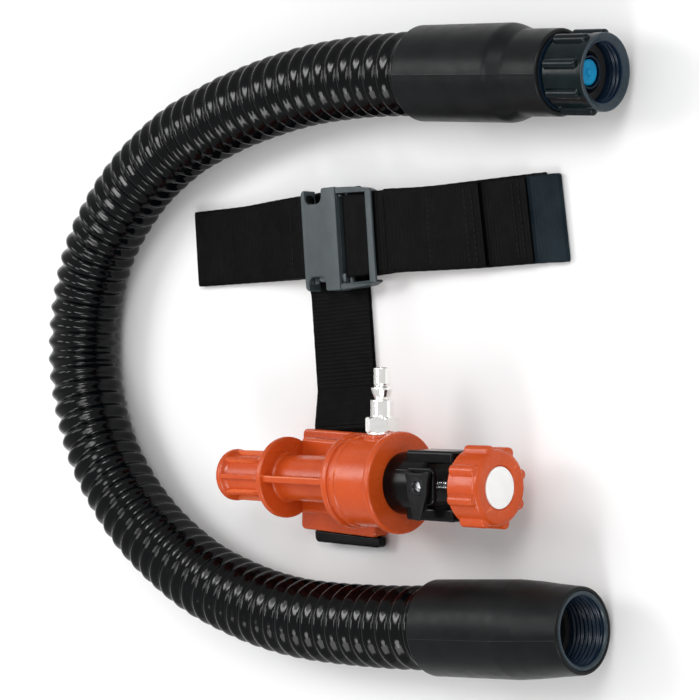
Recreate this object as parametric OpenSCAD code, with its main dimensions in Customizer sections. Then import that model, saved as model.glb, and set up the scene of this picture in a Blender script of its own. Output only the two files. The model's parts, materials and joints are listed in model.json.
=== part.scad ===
// Supplied-air breathing tube with its waist belt and belt valve, laid flat on a surface.
// Millimetres, +Z up, z = 0 is the surface; the hose lies in a C around the belt and the valve.

/* [Hose] */
// Outside diameter over the corrugations
hose_od = 47; // [44:0.5:47]
// Inside diameter of the hose wall
hose_id = 41; // [40:0.5:42]
// Length of hose pushed into each cuff
hose_in_cuff = 40; // [30:1:41]

/* [Cuffs] */
// Largest diameter of both rubber cuffs
cuff_od = 53; // [52:0.5:54]
// Diameter of the upper cuff's neck
upper_neck_od = 46; // [44:0.5:48]
// Diameter of the lower cuff's front end
lower_front_od = 45.5; // [45:0.5:48]
// Length of the upper cuff
upper_len = 100; // [98:1:100]
// Length of the lower cuff
lower_len = 102; // [102:1:106]
// Direction of the upper cuff in plan, in degrees
upper_angle = -5.3; // [-7:0.1:-4]
// Direction of the lower cuff in plan, in degrees
lower_angle = 4.7; // [3:0.1:6]

/* [Couplings] */
// Diameter of the coupling nut's body
nut_od = 39.6; // [39:0.2:41]
// Crest diameter of the nut's internal thread
nut_thread_d = 31.6; // [31.6:0.2:32.4]
// Number of grip lugs on the nut and on the knob
lug_count = 8; // [6:1:10]
// Crest diameter of the lower connector's internal thread
connector_thread_d = 36.4; // [36:0.2:37]

/* [Webbing] */
// Width of the belt and of the hanger strap
web_w = 48; // [46:1:49]
// Thickness of the webbing
web_t = 1.8; // [1.4:0.1:1.8]
// Length of the belt as it lies folded
belt_len = 301; // [301:1:308]

/* [Buckle] */
// Overall width of the buckle across the belt
buckle_w = 58.8; // [58:0.2:62]
// Height of the buckle's top face
buckle_top = 16; // [16:0.5:18]

/* [Valve] */
// Diameter of the valve drum
drum_d = 50.4; // [50:0.2:52]
// Diameter of the end flange
end_flange_d = 57; // [56:0.5:58]
// Diameter of the black neck
neck_d = 34.7; // [34:0.1:36]
// Diameter of the control knob over its lugs
knob_d = 46.8; // [46:0.2:47.4]
// Bore of the outlet
outlet_bore = 18; // [17:0.5:18]

/* [Hidden] */
$fn = 64;
cut = 1;                      // how far a cutter runs past a face
fit = 0.05;                   // radial clearance of a shaft in its hole

// ---- places -------------------------------------------------------------------------------
upper_mouth = [45.6, 153.5, cuff_od / 2];
lower_mouth = [56.8, -153, cuff_od / 2];
belt_origin = [-174.3, 64.4, 0];
belt_tilt = 1.33;
saddle_centre = [-34.3, -78, 0];
saddle_turn = -1.5;
valve_pivot = 60;             // the valve lies turned about this point of its axis
valve_tilt = 0.6;
valve_shift = 3.2;            // where the zero of the valve's own lengths lies
strap_tilt = 4;
valve_y = -73.3;
valve_z = 37;
inlet_x = 21.5;
lever_x = 66.5;

// Centre line of the hose, from inside the upper cuff round to inside the lower cuff.
hose_route = [[85.2, 149.8, 26.5], [65.2, 151.7, 26.5], [45.2, 153.5, 26.5], [23.2, 155, 26],
    [1.2, 156.2, 25], [-22.8, 156.5, 24], [-46.8, 155.8, 23.5], [-69.8, 153.5, 23.5],
    [-92.8, 150, 23.5], [-116.3, 145.5, 23.5], [-138.8, 139.5, 23.5], [-160.9, 132.8, 23.5],
    [-181.4, 123.3, 23.5], [-200.9, 112.3, 23.5], [-217.9, 99.3, 23.5], [-233.7, 83.9, 23.5],
    [-246.7, 67.4, 23.5], [-255.7, 49.4, 23.5], [-261.8, 30, 23.5], [-264.8, 10, 23.5],
    [-264.8, -10, 23.5], [-260.8, -30, 23.5], [-253.8, -49.5, 23.5], [-243.8, -68.5, 23.5],
    [-229.3, -86.5, 23.5], [-211.8, -103.5, 23.5], [-191.3, -118.5, 23.5],
    [-167.8, -131.5, 23.5], [-142.3, -142.5, 23.5], [-114.8, -150, 23.5], [-86.8, -155.5, 23.5],
    [-56.8, -158.5, 23.5], [-26.8, -158.7, 23.5], [5.2, -157.3, 24.5], [33.2, -155.3, 26],
    [56.8, -153, 26.5], [77.2, -151.4, 26.5], [96.7, -149.7, 26.5]];
hose_sides = 12;

// ---- helpers ------------------------------------------------------------------------------
function unit(v) = v / norm(v);
function tangent(p, i) = unit(p[min(i + 1, len(p) - 1)] - p[max(i - 1, 0)]);

// One ring of the swept hose: a polygon of radius r square to the route at point i.
function ring(p, i, r) =
    let (t = tangent(p, i), side = unit(cross([0, 0, 1], t)), up = cross(t, side))
    [for (k = [0:hose_sides - 1]) let (a = 360 * k / hose_sides)
        p[i] + r * (cos(a) * side + sin(a) * up)];

// Outline of a band of thickness t that follows a flat path.
function beside(p, i, d) = let (t = tangent(p, i)) p[i] + d * [-t[1], t[0]];
function band(p, t) = concat([for (i = [0:len(p) - 1]) beside(p, i, t / 2)],
    [for (i = [len(p) - 1:-1:0]) beside(p, i, -t / 2)]);

// Points on an arc about c from angle a0 to a1.
function arc(c, r, a0, a1, n) = [for (k = [0:n]) let (a = a0 + (a1 - a0) * k / n)
    c + r * [cos(a), sin(a)]];

// Puts local +Z along a horizontal axis that starts at p and points at angle a in plan.
module along(p, a) {
    translate(p) rotate([0, 0, a]) rotate([0, 90, 0]) children();
}

module on_upper() {
    along(upper_mouth, upper_angle) children();
}

module on_lower() {
    along(lower_mouth, lower_angle) children();
}

// The valve's own frame, before it is turned in plan.
module on_set() {
    translate([valve_shift + valve_pivot, valve_y, 0]) rotate([0, 0, valve_tilt])
        translate([-valve_pivot, -valve_y, 0]) children();
}

// Local +Z runs along the valve to its knob, and local -X is up.
module on_valve() {
    on_set() along([0, valve_y, valve_z], 0) children();
}

module on_inlet() {
    on_set() translate([inlet_x, valve_y, valve_z]) rotate([-90, 0, 0]) children();
}

module on_belt() {
    translate(belt_origin) rotate([0, 0, belt_tilt]) children();
}

module on_strap() {
    translate(saddle_centre) rotate([0, 0, strap_tilt]) children();
}

// A band of webbing: path in the belt's length and height, width across it.
module web_x(path) {
    rotate([90, 0, 0]) linear_extrude(web_w, center = true) polygon(band(path, web_t));
}

module web_y(path) {
    rotate([90, 0, 90]) linear_extrude(web_w, center = true) polygon(band(path, web_t));
}

module tube(r_out, r_in, z0, z1) {
    difference() {
        translate([0, 0, z0]) cylinder(r = r_out, h = z1 - z0);
        translate([0, 0, z0 - cut]) cylinder(r = r_in, h = z1 - z0 + 2 * cut);
    }
}

module rod(r, z0, z1) {
    translate([0, 0, z0]) cylinder(r = r, h = z1 - z0);
}

// A block given by its low and high corners.
module block(lo, hi) {
    translate(lo) cube(hi - lo);
}

// A plate with round corners, from the low corner to the high corner.
module plate(lo, hi, r) {
    translate([0, 0, lo[2]]) linear_extrude(hi[2] - lo[2]) {
        translate([lo[0] + r, lo[1]]) square([hi[0] - lo[0] - 2 * r, hi[1] - lo[1]]);
        translate([lo[0], lo[1] + r]) square([hi[0] - lo[0], hi[1] - lo[1] - 2 * r]);
        for (x = [lo[0] + r, hi[0] - r], y = [lo[1] + r, hi[1] - r]) translate([x, y]) circle(r);
    }
}

// ---- hose and cuffs -----------------------------------------------------------------------
module breathing_hose() {
    n = len(hose_route);
    s = hose_sides;
    outer = [for (i = [0:n - 1]) each ring(hose_route, i, hose_od / 2)];
    inner = [for (i = [0:n - 1]) each ring(hose_route, i, hose_id / 2)];
    b = n * s;                // index of the first inner point
    e = (n - 1) * s;          // index of the last ring's first point
    walls = [for (i = [0:n - 2], k = [0:s - 1]) let (j = (k + 1) % s)
        each [[i * s + k, i * s + j, (i + 1) * s + j, (i + 1) * s + k],
            [b + i * s + k, b + (i + 1) * s + k, b + (i + 1) * s + j, b + i * s + j]]];
    ends = [for (k = [0:s - 1]) let (j = (k + 1) % s)
        each [[k, b + k, b + j, j], [e + k, e + j, b + e + j, b + e + k]]];
    color("#141416") polyhedron(concat(outer, inner), concat(walls, ends), convexity = 6);
}

clamp_z0 = 14.5;
clamp_z1 = 22.5;
clamp_r = hose_od / 2 + 0.9;
cuff_bore = hose_od / 2 + 0.1;
mouth_z = hose_in_cuff + 2;   // depth of the bore that takes the hose
upper_bore = 20;
lower_bore = 20.6;

// A moulded cuff: outline of its outside, and the bore behind the hose's end.
module cuff(outline, length, bore) {
    color("#1c1c1e") difference() {
        rotate_extrude($fn = 96) polygon(concat(outline, [[0, length], [0, 0]]));
        translate([0, 0, -cut]) cylinder(r = cuff_bore, h = mouth_z + cut);
        translate([0, 0, clamp_z0]) cylinder(r = clamp_r + 0.1, h = clamp_z1 - clamp_z0);
        cylinder(r = bore, h = length + cut);
    }
}

module clamp_band() {
    color("#b9bcc0") tube(clamp_r, cuff_bore, clamp_z0 + 0.2, clamp_z1 - 0.2);
}

shoulder = 5;                 // radius of the cuff's rounded shoulder

module upper_cuff() {
    r = cuff_od / 2;
    n = upper_neck_od / 2;
    on_upper() cuff(concat([[r - 2, 0]],
        arc([r - shoulder, shoulder], shoulder, -50, 0, 4),
        arc([r - 9, 64], 9, 0, 35, 3), arc([n + 6, 80], 6, 215, 180, 3),
        [[n, upper_len - 1.5], [n - 1.2, upper_len]]), upper_len, upper_bore);
}

module lower_cuff() {
    r = cuff_od / 2;
    n = lower_front_od / 2;
    on_lower() cuff(concat([[r - 2, 0]],
        arc([r - shoulder, shoulder], shoulder, -50, 0, 4),
        [[r, 58], [r - 0.9, 72], [r - 2.2, 84], [n + 0.4, lower_len - 4]],
        arc([n - 2, lower_len - 2.5], 2.5, 0, 90, 3)), lower_len, lower_bore);
}

module upper_clamp() {
    on_upper() clamp_band();
}

module lower_clamp() {
    on_lower() clamp_band();
}

barb_r = 19.2;
duct_r = 14.5;
nut_z0 = 101;
nut_z1 = 128;
nut_web_z = 109.5;            // front face of the web that holds the nut on
nut_relief_z = 118;           // where the nut's thread begins
neck_r = 14;
seat_bore = 11;
flange_z = 113.8;             // sealing face of the spigot

module upper_spigot() {
    color("#232326") on_upper() difference() {
        union() {
            rod(barb_r, 12, mouth_z);
            rod(upper_bore - fit, mouth_z, upper_len - 0.3);
            rod(neck_r, upper_len - 0.3, nut_web_z + 0.3);
            rod(nut_thread_d / 2 - 0.3, nut_web_z + 0.3, flange_z);
        }
        rod(duct_r, 12 - cut, 92);
        rod(seat_bore, 91, flange_z + cut);
    }
}

module check_valve_seat() {
    color("#2b2f36") on_upper() difference() {
        union() {
            rod(seat_bore - fit, 108, 111);
            tube(8.8, 7.6, 110, 117.8);
        }
        for (k = [0:5]) rotate([0, 0, 60 * k]) translate([4.6, 0, 0]) rod(1.5, 107, 112);
        rod(1.25, 107, 112);
    }
}

module check_valve_flap() {
    color("#1585ad") on_upper() {
        rod(6.8, 115.4, 117);
        rod(1.2, 107.5, 115.5);
    }
}

module nut_gasket() {
    color("#3a3c40") on_upper() tube(nut_thread_d / 2 - 0.3, 11.2, flange_z, flange_z + 1.8);
}

module coupling_nut() {
    lug_r = 2.8;
    lug_turn = 15.5;
    chamfer = 2.5;
    color("#161618") on_upper() difference() {
        union() {
            rotate_extrude() polygon([[0, nut_z0], [nut_od / 2 - 1.2, nut_z0],
                [nut_od / 2, nut_z0 + 1.2], [nut_od / 2, nut_z1 - 6], [nut_od / 2 + 0.5, nut_z1 - 5],
                [nut_od / 2 + 0.5, nut_z1 - 1.5], [nut_od / 2 - 1, nut_z1], [0, nut_z1]]);
            for (k = [0:lug_count - 1]) rotate([0, 0, lug_turn + 360 * (k + 0.5) / lug_count])
                translate([nut_od / 2, 0, 0]) rod(lug_r, nut_z0 + 2, nut_z1 - 3.5);
        }
        rod(neck_r + fit, nut_z0 - cut, nut_web_z + cut);
        rod(nut_thread_d / 2 + 0.7, nut_web_z, nut_relief_z);
        rod(nut_thread_d / 2, nut_relief_z - cut, nut_z1 + cut);
        translate([0, 0, nut_z1 - chamfer])
            cylinder(r1 = nut_thread_d / 2, r2 = nut_thread_d / 2 + 3.1, h = chamfer);
    }
}

connector_step = 76;          // floor of the threaded socket
gasket_room = 2.4;            // height of the groove that keeps the gasket in

module lower_connector() {
    color("#1d2733") on_lower() difference() {
        union() {
            rod(barb_r, 12, mouth_z);
            rod(lower_bore - fit, mouth_z, lower_len - 0.5);
        }
        rod(duct_r, 12 - cut, connector_step + cut);
        rod(connector_thread_d / 2 + 0.6, connector_step, connector_step + gasket_room);
        rod(connector_thread_d / 2, connector_step, lower_len + cut);
    }
}

module lower_gasket() {
    color("#303236") on_lower() tube(connector_thread_d / 2 + 0.5, duct_r + 0.1,
        connector_step, connector_step + 2);
}

// ---- webbing ------------------------------------------------------------------------------
low = web_t / 2;              // height of a layer that lies on the surface
step = web_t + 0.25;          // height from one layer to the layer above
loop_r = 1.6 + web_t / 2 + fit; // bend of the webbing about a buckle bar
bar_r = 1.6;
socket_bar = [113.5, 11.15];
plug_bar = [147, 11];
butt_x = belt_len - 12;       // where the two lengths of belt meet under the right fold

// From the sewn loop on the buckle's left bar, round the left fold and back along the surface.
module belt_webbing() {
    fold = (step + 0.35) / 2;
    color("#17181b") on_belt() web_x(concat([[80, 6], [102, 9.3], [109, 8.75]],
        arc(socket_bar, loop_r, -85, 85, 6),
        [[109, 13.6], [102, 12.4], [86, 9.4], [66, 6.4], [34, 3.6]],
        arc([fold + low, low + fold], fold, 90, 270, 6),
        [[90, low], [98, low + step], [157, low + step], [166, low], [butt_x, low]]));
}

// From the loose tail, round the plug's bar, back under it and round the right fold.
module belt_right_run() {
    fold = (step + 0.1) / 2;
    color("#17181b") on_belt() web_x(concat(
        [[279, 5.35], [220, 5.35], [202, 6.5], [182, 9.7], [170, 11.6], [158, 11.9], [152.5, 13]],
        arc(plug_bar, loop_r, 80, 280, 8),
        [[153.5, 9.1], [159, 9.3], [170, 9.2], [182, 7.2], [202, 4.1], [220, low + 2 * fold]],
        arc([belt_len - fold - low, low + fold], fold, 90, -90, 6), [[butt_x + 0.1, low]]));
}

module belt_overlap() {
    color("#1b1c1f") on_belt() web_x([[178, 12.7], [186, 11.4], [202, 8.8], [220, 7.65], [247, 7.65]]);
}

// Sewn in a loop round the belt at the top, and threaded through the saddle at the bottom.
strap_z = 5.2;                // height of the strap inside the saddle
strap_end_y = -33;            // end of the strap, from the saddle's centre
end_bar_w = 5.2;

module hanger_strap() {
    turn = step;
    color("#17181b") on_strap() web_y(concat(
        [[60, low + 1.85], [114, low + 1.85], [119.5, low + 2 * turn], [168, low + 2 * turn]],
        arc([171, low + turn], turn, 90, -90, 6),
        [[54, low], [33, strap_z], [strap_end_y - 3.6, strap_z]]));
}

module strap_end_bar() {
    color("#101012") on_strap() difference() {
        plate([-27.5, strap_end_y - end_bar_w, 2.2], [26, strap_end_y, 8.6], 2.5);
        block([-web_w / 2 - 0.3, strap_end_y - 4, strap_z - web_t / 2 - 0.1],
            [web_w / 2 + 0.3, strap_end_y + cut, strap_z + web_t / 2 + 0.1]);
    }
}

// ---- buckle -------------------------------------------------------------------------------
buckle_y = -1.5;              // the webbing sits off-centre in the buckle
buckle_low = 6.2;
socket_x0 = 112;
socket_x1 = 141;
plug_x1 = 172;
rail = 3.5;                   // width of the buckle's side walls
end_bar_x = 165;

module on_buckle() {
    on_belt() translate([0, buckle_y, 0]) children();
}

module cross_bar(p, r) {
    translate([p[0], 0, p[1]]) rotate([90, 0, 0]) cylinder(r = r, h = buckle_w - 2, center = true);
}

module buckle_socket() {
    h = buckle_w / 2;
    inner = h - rail;
    notch_r = 6.7;
    color("#4b5358") on_buckle() {
        difference() {
            union() {
                plate([socket_x0, -h, buckle_low], [socket_x1, h, buckle_top], 3);
                for (s = [-1, 1]) scale([1, s, 1])
                    block([socket_x0 - 3, inner + 0.5, 8.5], [socket_x0 + 3, h - 1, 12.5]);
            }
            block([socket_x0 - 4, -inner, 7.4], [socket_x0 + 5.3, inner, 14.9]);
            block([socket_x0 + 7.3, -inner, 8.2], [socket_x1 + cut, inner, 13.6]);
            for (s = [-1, 1]) translate([socket_x0 + 10.2, s * (h - 1.5), 0]) rod(notch_r, 0, 20);
        }
        cross_bar(socket_bar, bar_r);
    }
}

module buckle_plug() {
    h = buckle_w / 2;
    inner = h - rail;
    color("#4b5358") on_buckle() {
        difference() {
            plate([socket_x1 + 0.1, -h, 7.6], [plug_x1, h, buckle_top - 0.6], 2.5);
            block([socket_x1, -inner, 0], [end_bar_x, inner, 20]);
            block([socket_x1, -inner, 0], [plug_x1 + cut, inner, 12.9]);
        }
        cross_bar(plug_bar, bar_r);
        block([socket_x1 - 6, -inner + 0.3, 8.6], [socket_x1 + 1.5, inner - 0.3, 13]);
        block([socket_x1 - 18, -6, 8.6], [socket_x1 - 5, 6, 13]);
        for (s = [-1, 1]) scale([1, s, 1]) {
            block([socket_x1 - 21, 19.8, 8.6], [socket_x1 - 5, inner - 0.3, 13]);
            block([socket_x1 + 0.1, inner - 0.5, 8.6], [socket_x1 + 1.5, h - 1, 13]);
        }
    }
}

// ---- valve casing -------------------------------------------------------------------------
tail_x0 = -103.5;
flange1_x = -58.5;
drum_x0 = 2.5;
drum_x1 = 32.5;
face_x = 37.5;                // front face of the end flange
core_r = 13.5;
chamber_r = 21;
chamber_x = 6;
socket_r = 11;                // bore that takes the tail's spigot
liner_x = -73;                // where the outlet widens to hold the silencer sleeve
liner_r = outlet_bore / 2 + 0.4;
ring_seat_r = 10.2;           // floor of the tail's seal groove
fin_t = 4;
boss_r = 10.5;
boss_top = 26.4;              // height of the inlet boss above the valve's axis
stub_r = 5.5;

module valve_body() {
    saddle_w = 29;
    color("#e0582f") difference() {
        union() {
            on_valve() {
                rod(core_r, flange1_x, drum_x0);
                rod(23.75, flange1_x, flange1_x + 4);
                rod(27, drum_x0 - 4, drum_x0);
                rod(drum_d / 2, drum_x0, drum_x1);
                rod(26.2, drum_x0 + 3, drum_x0 + 5.5);
                translate([-21.5, -fin_t / 2, flange1_x]) cube([21.5, fin_t, drum_x0 - flange1_x]);
            }
            translate(saddle_centre) rotate([0, 0, saddle_turn]) {
                plate([-saddle_w - 4, -30, 0], [saddle_w, 30, 12], 3);
                block([-19, -18, 11], [36, 26, 27]);
            }
            on_inlet() {
                rod(boss_r, 15, boss_top);
                rod(boss_r + 0.4, 15, boss_top - 2);
            }
            on_set() translate([inlet_x - 14, valve_y + 20, valve_z - 1.5]) cube([3, 6, 3]);
        }
        on_valve() {
            rod(socket_r, flange1_x - cut, flange1_x + 10.5);
            rod(liner_r, flange1_x, chamber_x + cut);
            rod(chamber_r, chamber_x, drum_x1 + cut);
        }
        on_inlet() rod(stub_r + fit, 10, boss_top + cut);
        translate(saddle_centre) block([-27.3, -34, 3], [27.3, 34, 7.6]);
    }
}

module outlet_tail() {
    lip_r = 15.5;
    color("#e0582f") on_valve() difference() {
        union() {
            rotate_extrude() polygon(concat([[0, tail_x0]],
                arc([lip_r - 2.4, tail_x0 + 2.4], 2.4, -90, 90, 6),
                [[12.2, tail_x0 + 7], [12.2, flange1_x - 4], [core_r, flange1_x],
                [socket_r - fit, flange1_x], [socket_r - fit, flange1_x + 10], [0, flange1_x + 10]]));
            for (k = [0:7]) rotate([0, 0, 45 * k]) {
                translate([0, -1.3, tail_x0 + 4]) cube([15, 2.6, flange1_x - tail_x0 - 4]);
                translate([0, 1.3, 0]) rotate([90, 0, 0]) linear_extrude(2.6)
                    polygon([[14, flange1_x - 12], [19, flange1_x], [10, flange1_x]]);
            }
        }
        rod(outlet_bore / 2, tail_x0 - cut, liner_x + cut);
        rod(liner_r, liner_x, flange1_x + 10 + cut);
        tube(socket_r + 1, ring_seat_r, flange1_x + 4, flange1_x + 6.2);
    }
}

module tail_oring() {
    color("#202020") on_valve()
        tube(socket_r - 0.02, ring_seat_r + 0.02, flange1_x + 4.1, flange1_x + 6.1);
}

module silencer_sleeve() {
    color("#cfc9b8") on_valve() tube(liner_r - 0.1, 6.4, liner_x + 0.2, -20);
}

module orifice_disc() {
    color("#9aa0a6") on_valve() tube(chamber_r - 0.1, 5, chamber_x, chamber_x + 2.8);
}

gen_x0 = 8.8;
gen_x1 = 20;

module vortex_generator() {
    color("#c9a552") on_valve() difference() {
        tube(chamber_r - 2.5, 7, gen_x0, gen_x1);
        for (k = [0:5]) rotate([0, 0, 60 * k]) translate([5.2, 0, gen_x0 + 2])
            cube([1.6, 22, 5]);
    }
}

module hot_tube() {
    color("#b5b9bd") on_valve() tube(9, 7.2, gen_x1, 25.8);
}

flange_bore = 15.1;

module end_flange() {
    color("#e0582f") on_valve() difference() {
        rotate_extrude() polygon([[0, drum_x1 - 6], [chamber_r - 0.1, drum_x1 - 6],
            [chamber_r - 0.1, drum_x1], [end_flange_d / 2 - 0.8, drum_x1],
            [end_flange_d / 2, drum_x1 + 0.8], [end_flange_d / 2, face_x - 1.5],
            [end_flange_d / 2 - 1.5, face_x], [0, face_x]]);
        rod(flange_bore, drum_x1 - 7, face_x + cut);
        tube(chamber_r + 1, 19.4, drum_x1 - 4.2, drum_x1 - 2);
    }
}

module flange_oring() {
    color("#202020") on_valve() tube(chamber_r - 0.02, 19.45, drum_x1 - 4.1, drum_x1 - 2.1);
}

// ---- neck, lever and gate -----------------------------------------------------------------
barrel_x1 = 66;
cheek_x1 = 84;
exhaust_r = 10;
guide_x = 60;                 // wall that guides the spindle
spindle_r = 3;
pad_top = 54.9;
stem_r = 3.2;

module valve_neck() {
    color("#18181a") difference() {
        union() {
            on_valve() {
                rod(flange_bore - 0.1, 26, face_x);
                rod(neck_d / 2, face_x, barrel_x1);
            }
            on_set() {
                for (s = [-1, 1]) translate([0, valve_y, 0]) scale([1, s, 1])
                    block([50, 12, valve_z - 11], [cheek_x1, 19, valve_z + 11]);
                plate([lever_x - 10.5, valve_y - 10, valve_z + 8],
                    [lever_x + 9.5, valve_y + 10, pad_top], 3);
            }
        }
        on_valve() {
            rod(exhaust_r, 26 - cut, guide_x);
            rod(spindle_r + fit, guide_x - cut, barrel_x1 + 10);
            rod(4.9, guide_x - cut, guide_x + 2.2);
            tube(flange_bore + 1, 13.6, 29, 31.2);
        }
        on_set() {
            translate([75, valve_y, valve_z]) cylinder(r = 13, h = 30, center = true);
            translate([lever_x, valve_y, 40]) cylinder(r = stem_r + fit, h = 20);
        }
    }
}

module neck_oring() {
    color("#202020") on_valve() tube(flange_bore - 0.02, 13.65, 29.1, 31.1);
}

module spindle_oring() {
    color("#202020") on_valve() tube(4.85, spindle_r + fit, guide_x + 0.1, guide_x + 2.1);
}

module gate_stem() {
    color("#c3c7cb") on_set() translate([lever_x, valve_y, 0]) rod(stem_r, 48, pad_top + 1.9);
}

lever_z0 = pad_top + 0.3;
lever_z1 = lever_z0 + 3;

module shutoff_lever() {
    tip_y = -17;
    color("#26272a") on_set() translate([lever_x, valve_y, 0]) difference() {
        translate([0, 0, lever_z0]) linear_extrude(lever_z1 - lever_z0) {
            polygon(concat([[-9.5, 9], [-7.4, 3], [-7.4, -2]],
                arc([0, tip_y], 2.4, 200, 340, 6), [[7.4, -2], [7.4, 3], [9.5, 9]]));
        }
        rod(stem_r, lever_z0 - cut, lever_z1 + cut);
    }
}

// ---- inlet --------------------------------------------------------------------------------
washer_z = boss_top + 1.2;    // heights are above the valve's axis, along +Y
hex_af = 17;
hex_z = washer_z + 8.7;
barrel_z = hex_z + 10.2;
plug_rim_z = barrel_z + 6.4;
plug_top_z = plug_rim_z + 11.2;
inlet_bore = 2.2;

module inlet_washer() {
    color("#dfe1e3") on_inlet() tube(9, stub_r + fit, boss_top, washer_z);
}

module inlet_adapter() {
    color("#dfe1e3") on_inlet() difference() {
        union() {
            rod(stub_r, chamber_r + 0.1, washer_z + 1);
            translate([0, 0, washer_z]) rotate([0, 0, 30])
                cylinder(r = hex_af / 2 / cos(30), h = hex_z - washer_z, $fn = 6);
            rod(6.7, hex_z - 2, barrel_z);
        }
        rod(3.4, chamber_r - cut, 34);
        rod(4.2, 34, barrel_z + cut);
    }
}

module inlet_filter() {
    color("#a98f5a") on_inlet() tube(3.35, 1.2, chamber_r + 0.4, 33);
}

module inlet_plug() {
    color("#dfe1e3") on_inlet() difference() {
        union() {
            rod(4.15, 35, barrel_z);
            translate([0, 0, barrel_z]) cylinder(r1 = 4.4, r2 = 6.25, h = plug_rim_z - barrel_z - 1);
            rod(6.25, plug_rim_z - 1, plug_rim_z);
            rod(4.75, plug_rim_z, plug_top_z);
        }
        rod(inlet_bore, 35 - cut, plug_top_z + cut);
    }
}

// ---- control knob -------------------------------------------------------------------------
knob_x0 = 88;
knob_x1 = 108.3;
cap_r = 11.4;
cap_x = 106.8;
spindle_x1 = 100;
cone_x1 = 37;

module cone_valve() {
    color("#c3c7cb") on_valve() difference() {
        union() {
            translate([0, 0, 26]) cylinder(r1 = 3.5, r2 = 7.5, h = 7);
            rod(7.5, 33, cone_x1);
        }
        rod(2.2 + fit, 30, cone_x1 + cut);
    }
}

module spindle() {
    color("#c3c7cb") on_valve() difference() {
        union() {
            rod(2.2, 31, cone_x1 + 0.3);
            rod(spindle_r, cone_x1 + 0.3, spindle_x1);
        }
        rod(1.6, 89, spindle_x1 + cut);
    }
}

module knob() {
    body_r = 20.4;
    lug_r = 3.2;
    lug_turn = -5.5;
    color("#e0582f") on_valve() difference() {
        union() {
            rotate_extrude() polygon(concat([[0, knob_x0], [body_r - 1, knob_x0],
                [body_r, knob_x0 + 1]],
                arc([body_r - 3, knob_x1 - 3], 3, 0, 90, 4), [[0, knob_x1]]));
            for (k = [0:lug_count - 1]) rotate([0, 0, lug_turn + 360 * (k + 0.5) / lug_count])
                translate([knob_d / 2 - lug_r, 0, 0]) rod(lug_r, knob_x0 + 0.5, knob_x1 - 2);
        }
        tube(16, 6, knob_x0 - cut, spindle_x1);
        rod(spindle_r, knob_x0 - cut, spindle_x1);
        rod(1.8, spindle_x1 - cut, 104);
        rod(4.4, 103, cap_x + cut);
        rod(cap_r + 0.05, cap_x, knob_x1 + cut);
    }
}

module knob_screw() {
    color("#b5b9bd") on_valve() {
        rod(1.55, 91, 103.5);
        rod(3.8, 103, 105.6);
    }
}

module knob_cap() {
    color("#f4f4f2") on_valve() rod(cap_r, cap_x, knob_x1 - 0.3);
}

breathing_hose();
upper_cuff();
upper_clamp();
upper_spigot();
check_valve_seat();
check_valve_flap();
nut_gasket();
coupling_nut();
lower_cuff();
lower_clamp();
lower_connector();
lower_gasket();
belt_webbing();
belt_right_run();
belt_overlap();
hanger_strap();
strap_end_bar();
buckle_socket();
buckle_plug();
valve_body();
outlet_tail();
tail_oring();
silencer_sleeve();
orifice_disc();
vortex_generator();
hot_tube();
end_flange();
flange_oring();
valve_neck();
neck_oring();
spindle_oring();
inlet_washer();
inlet_adapter();
inlet_filter();
inlet_plug();
cone_valve();
spindle();
knob();
knob_screw();
knob_cap();
gate_stem();
shutoff_lever();
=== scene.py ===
"""Looks of the supplied-air breathing tube: visible pieces, materials, light and camera."""

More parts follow.
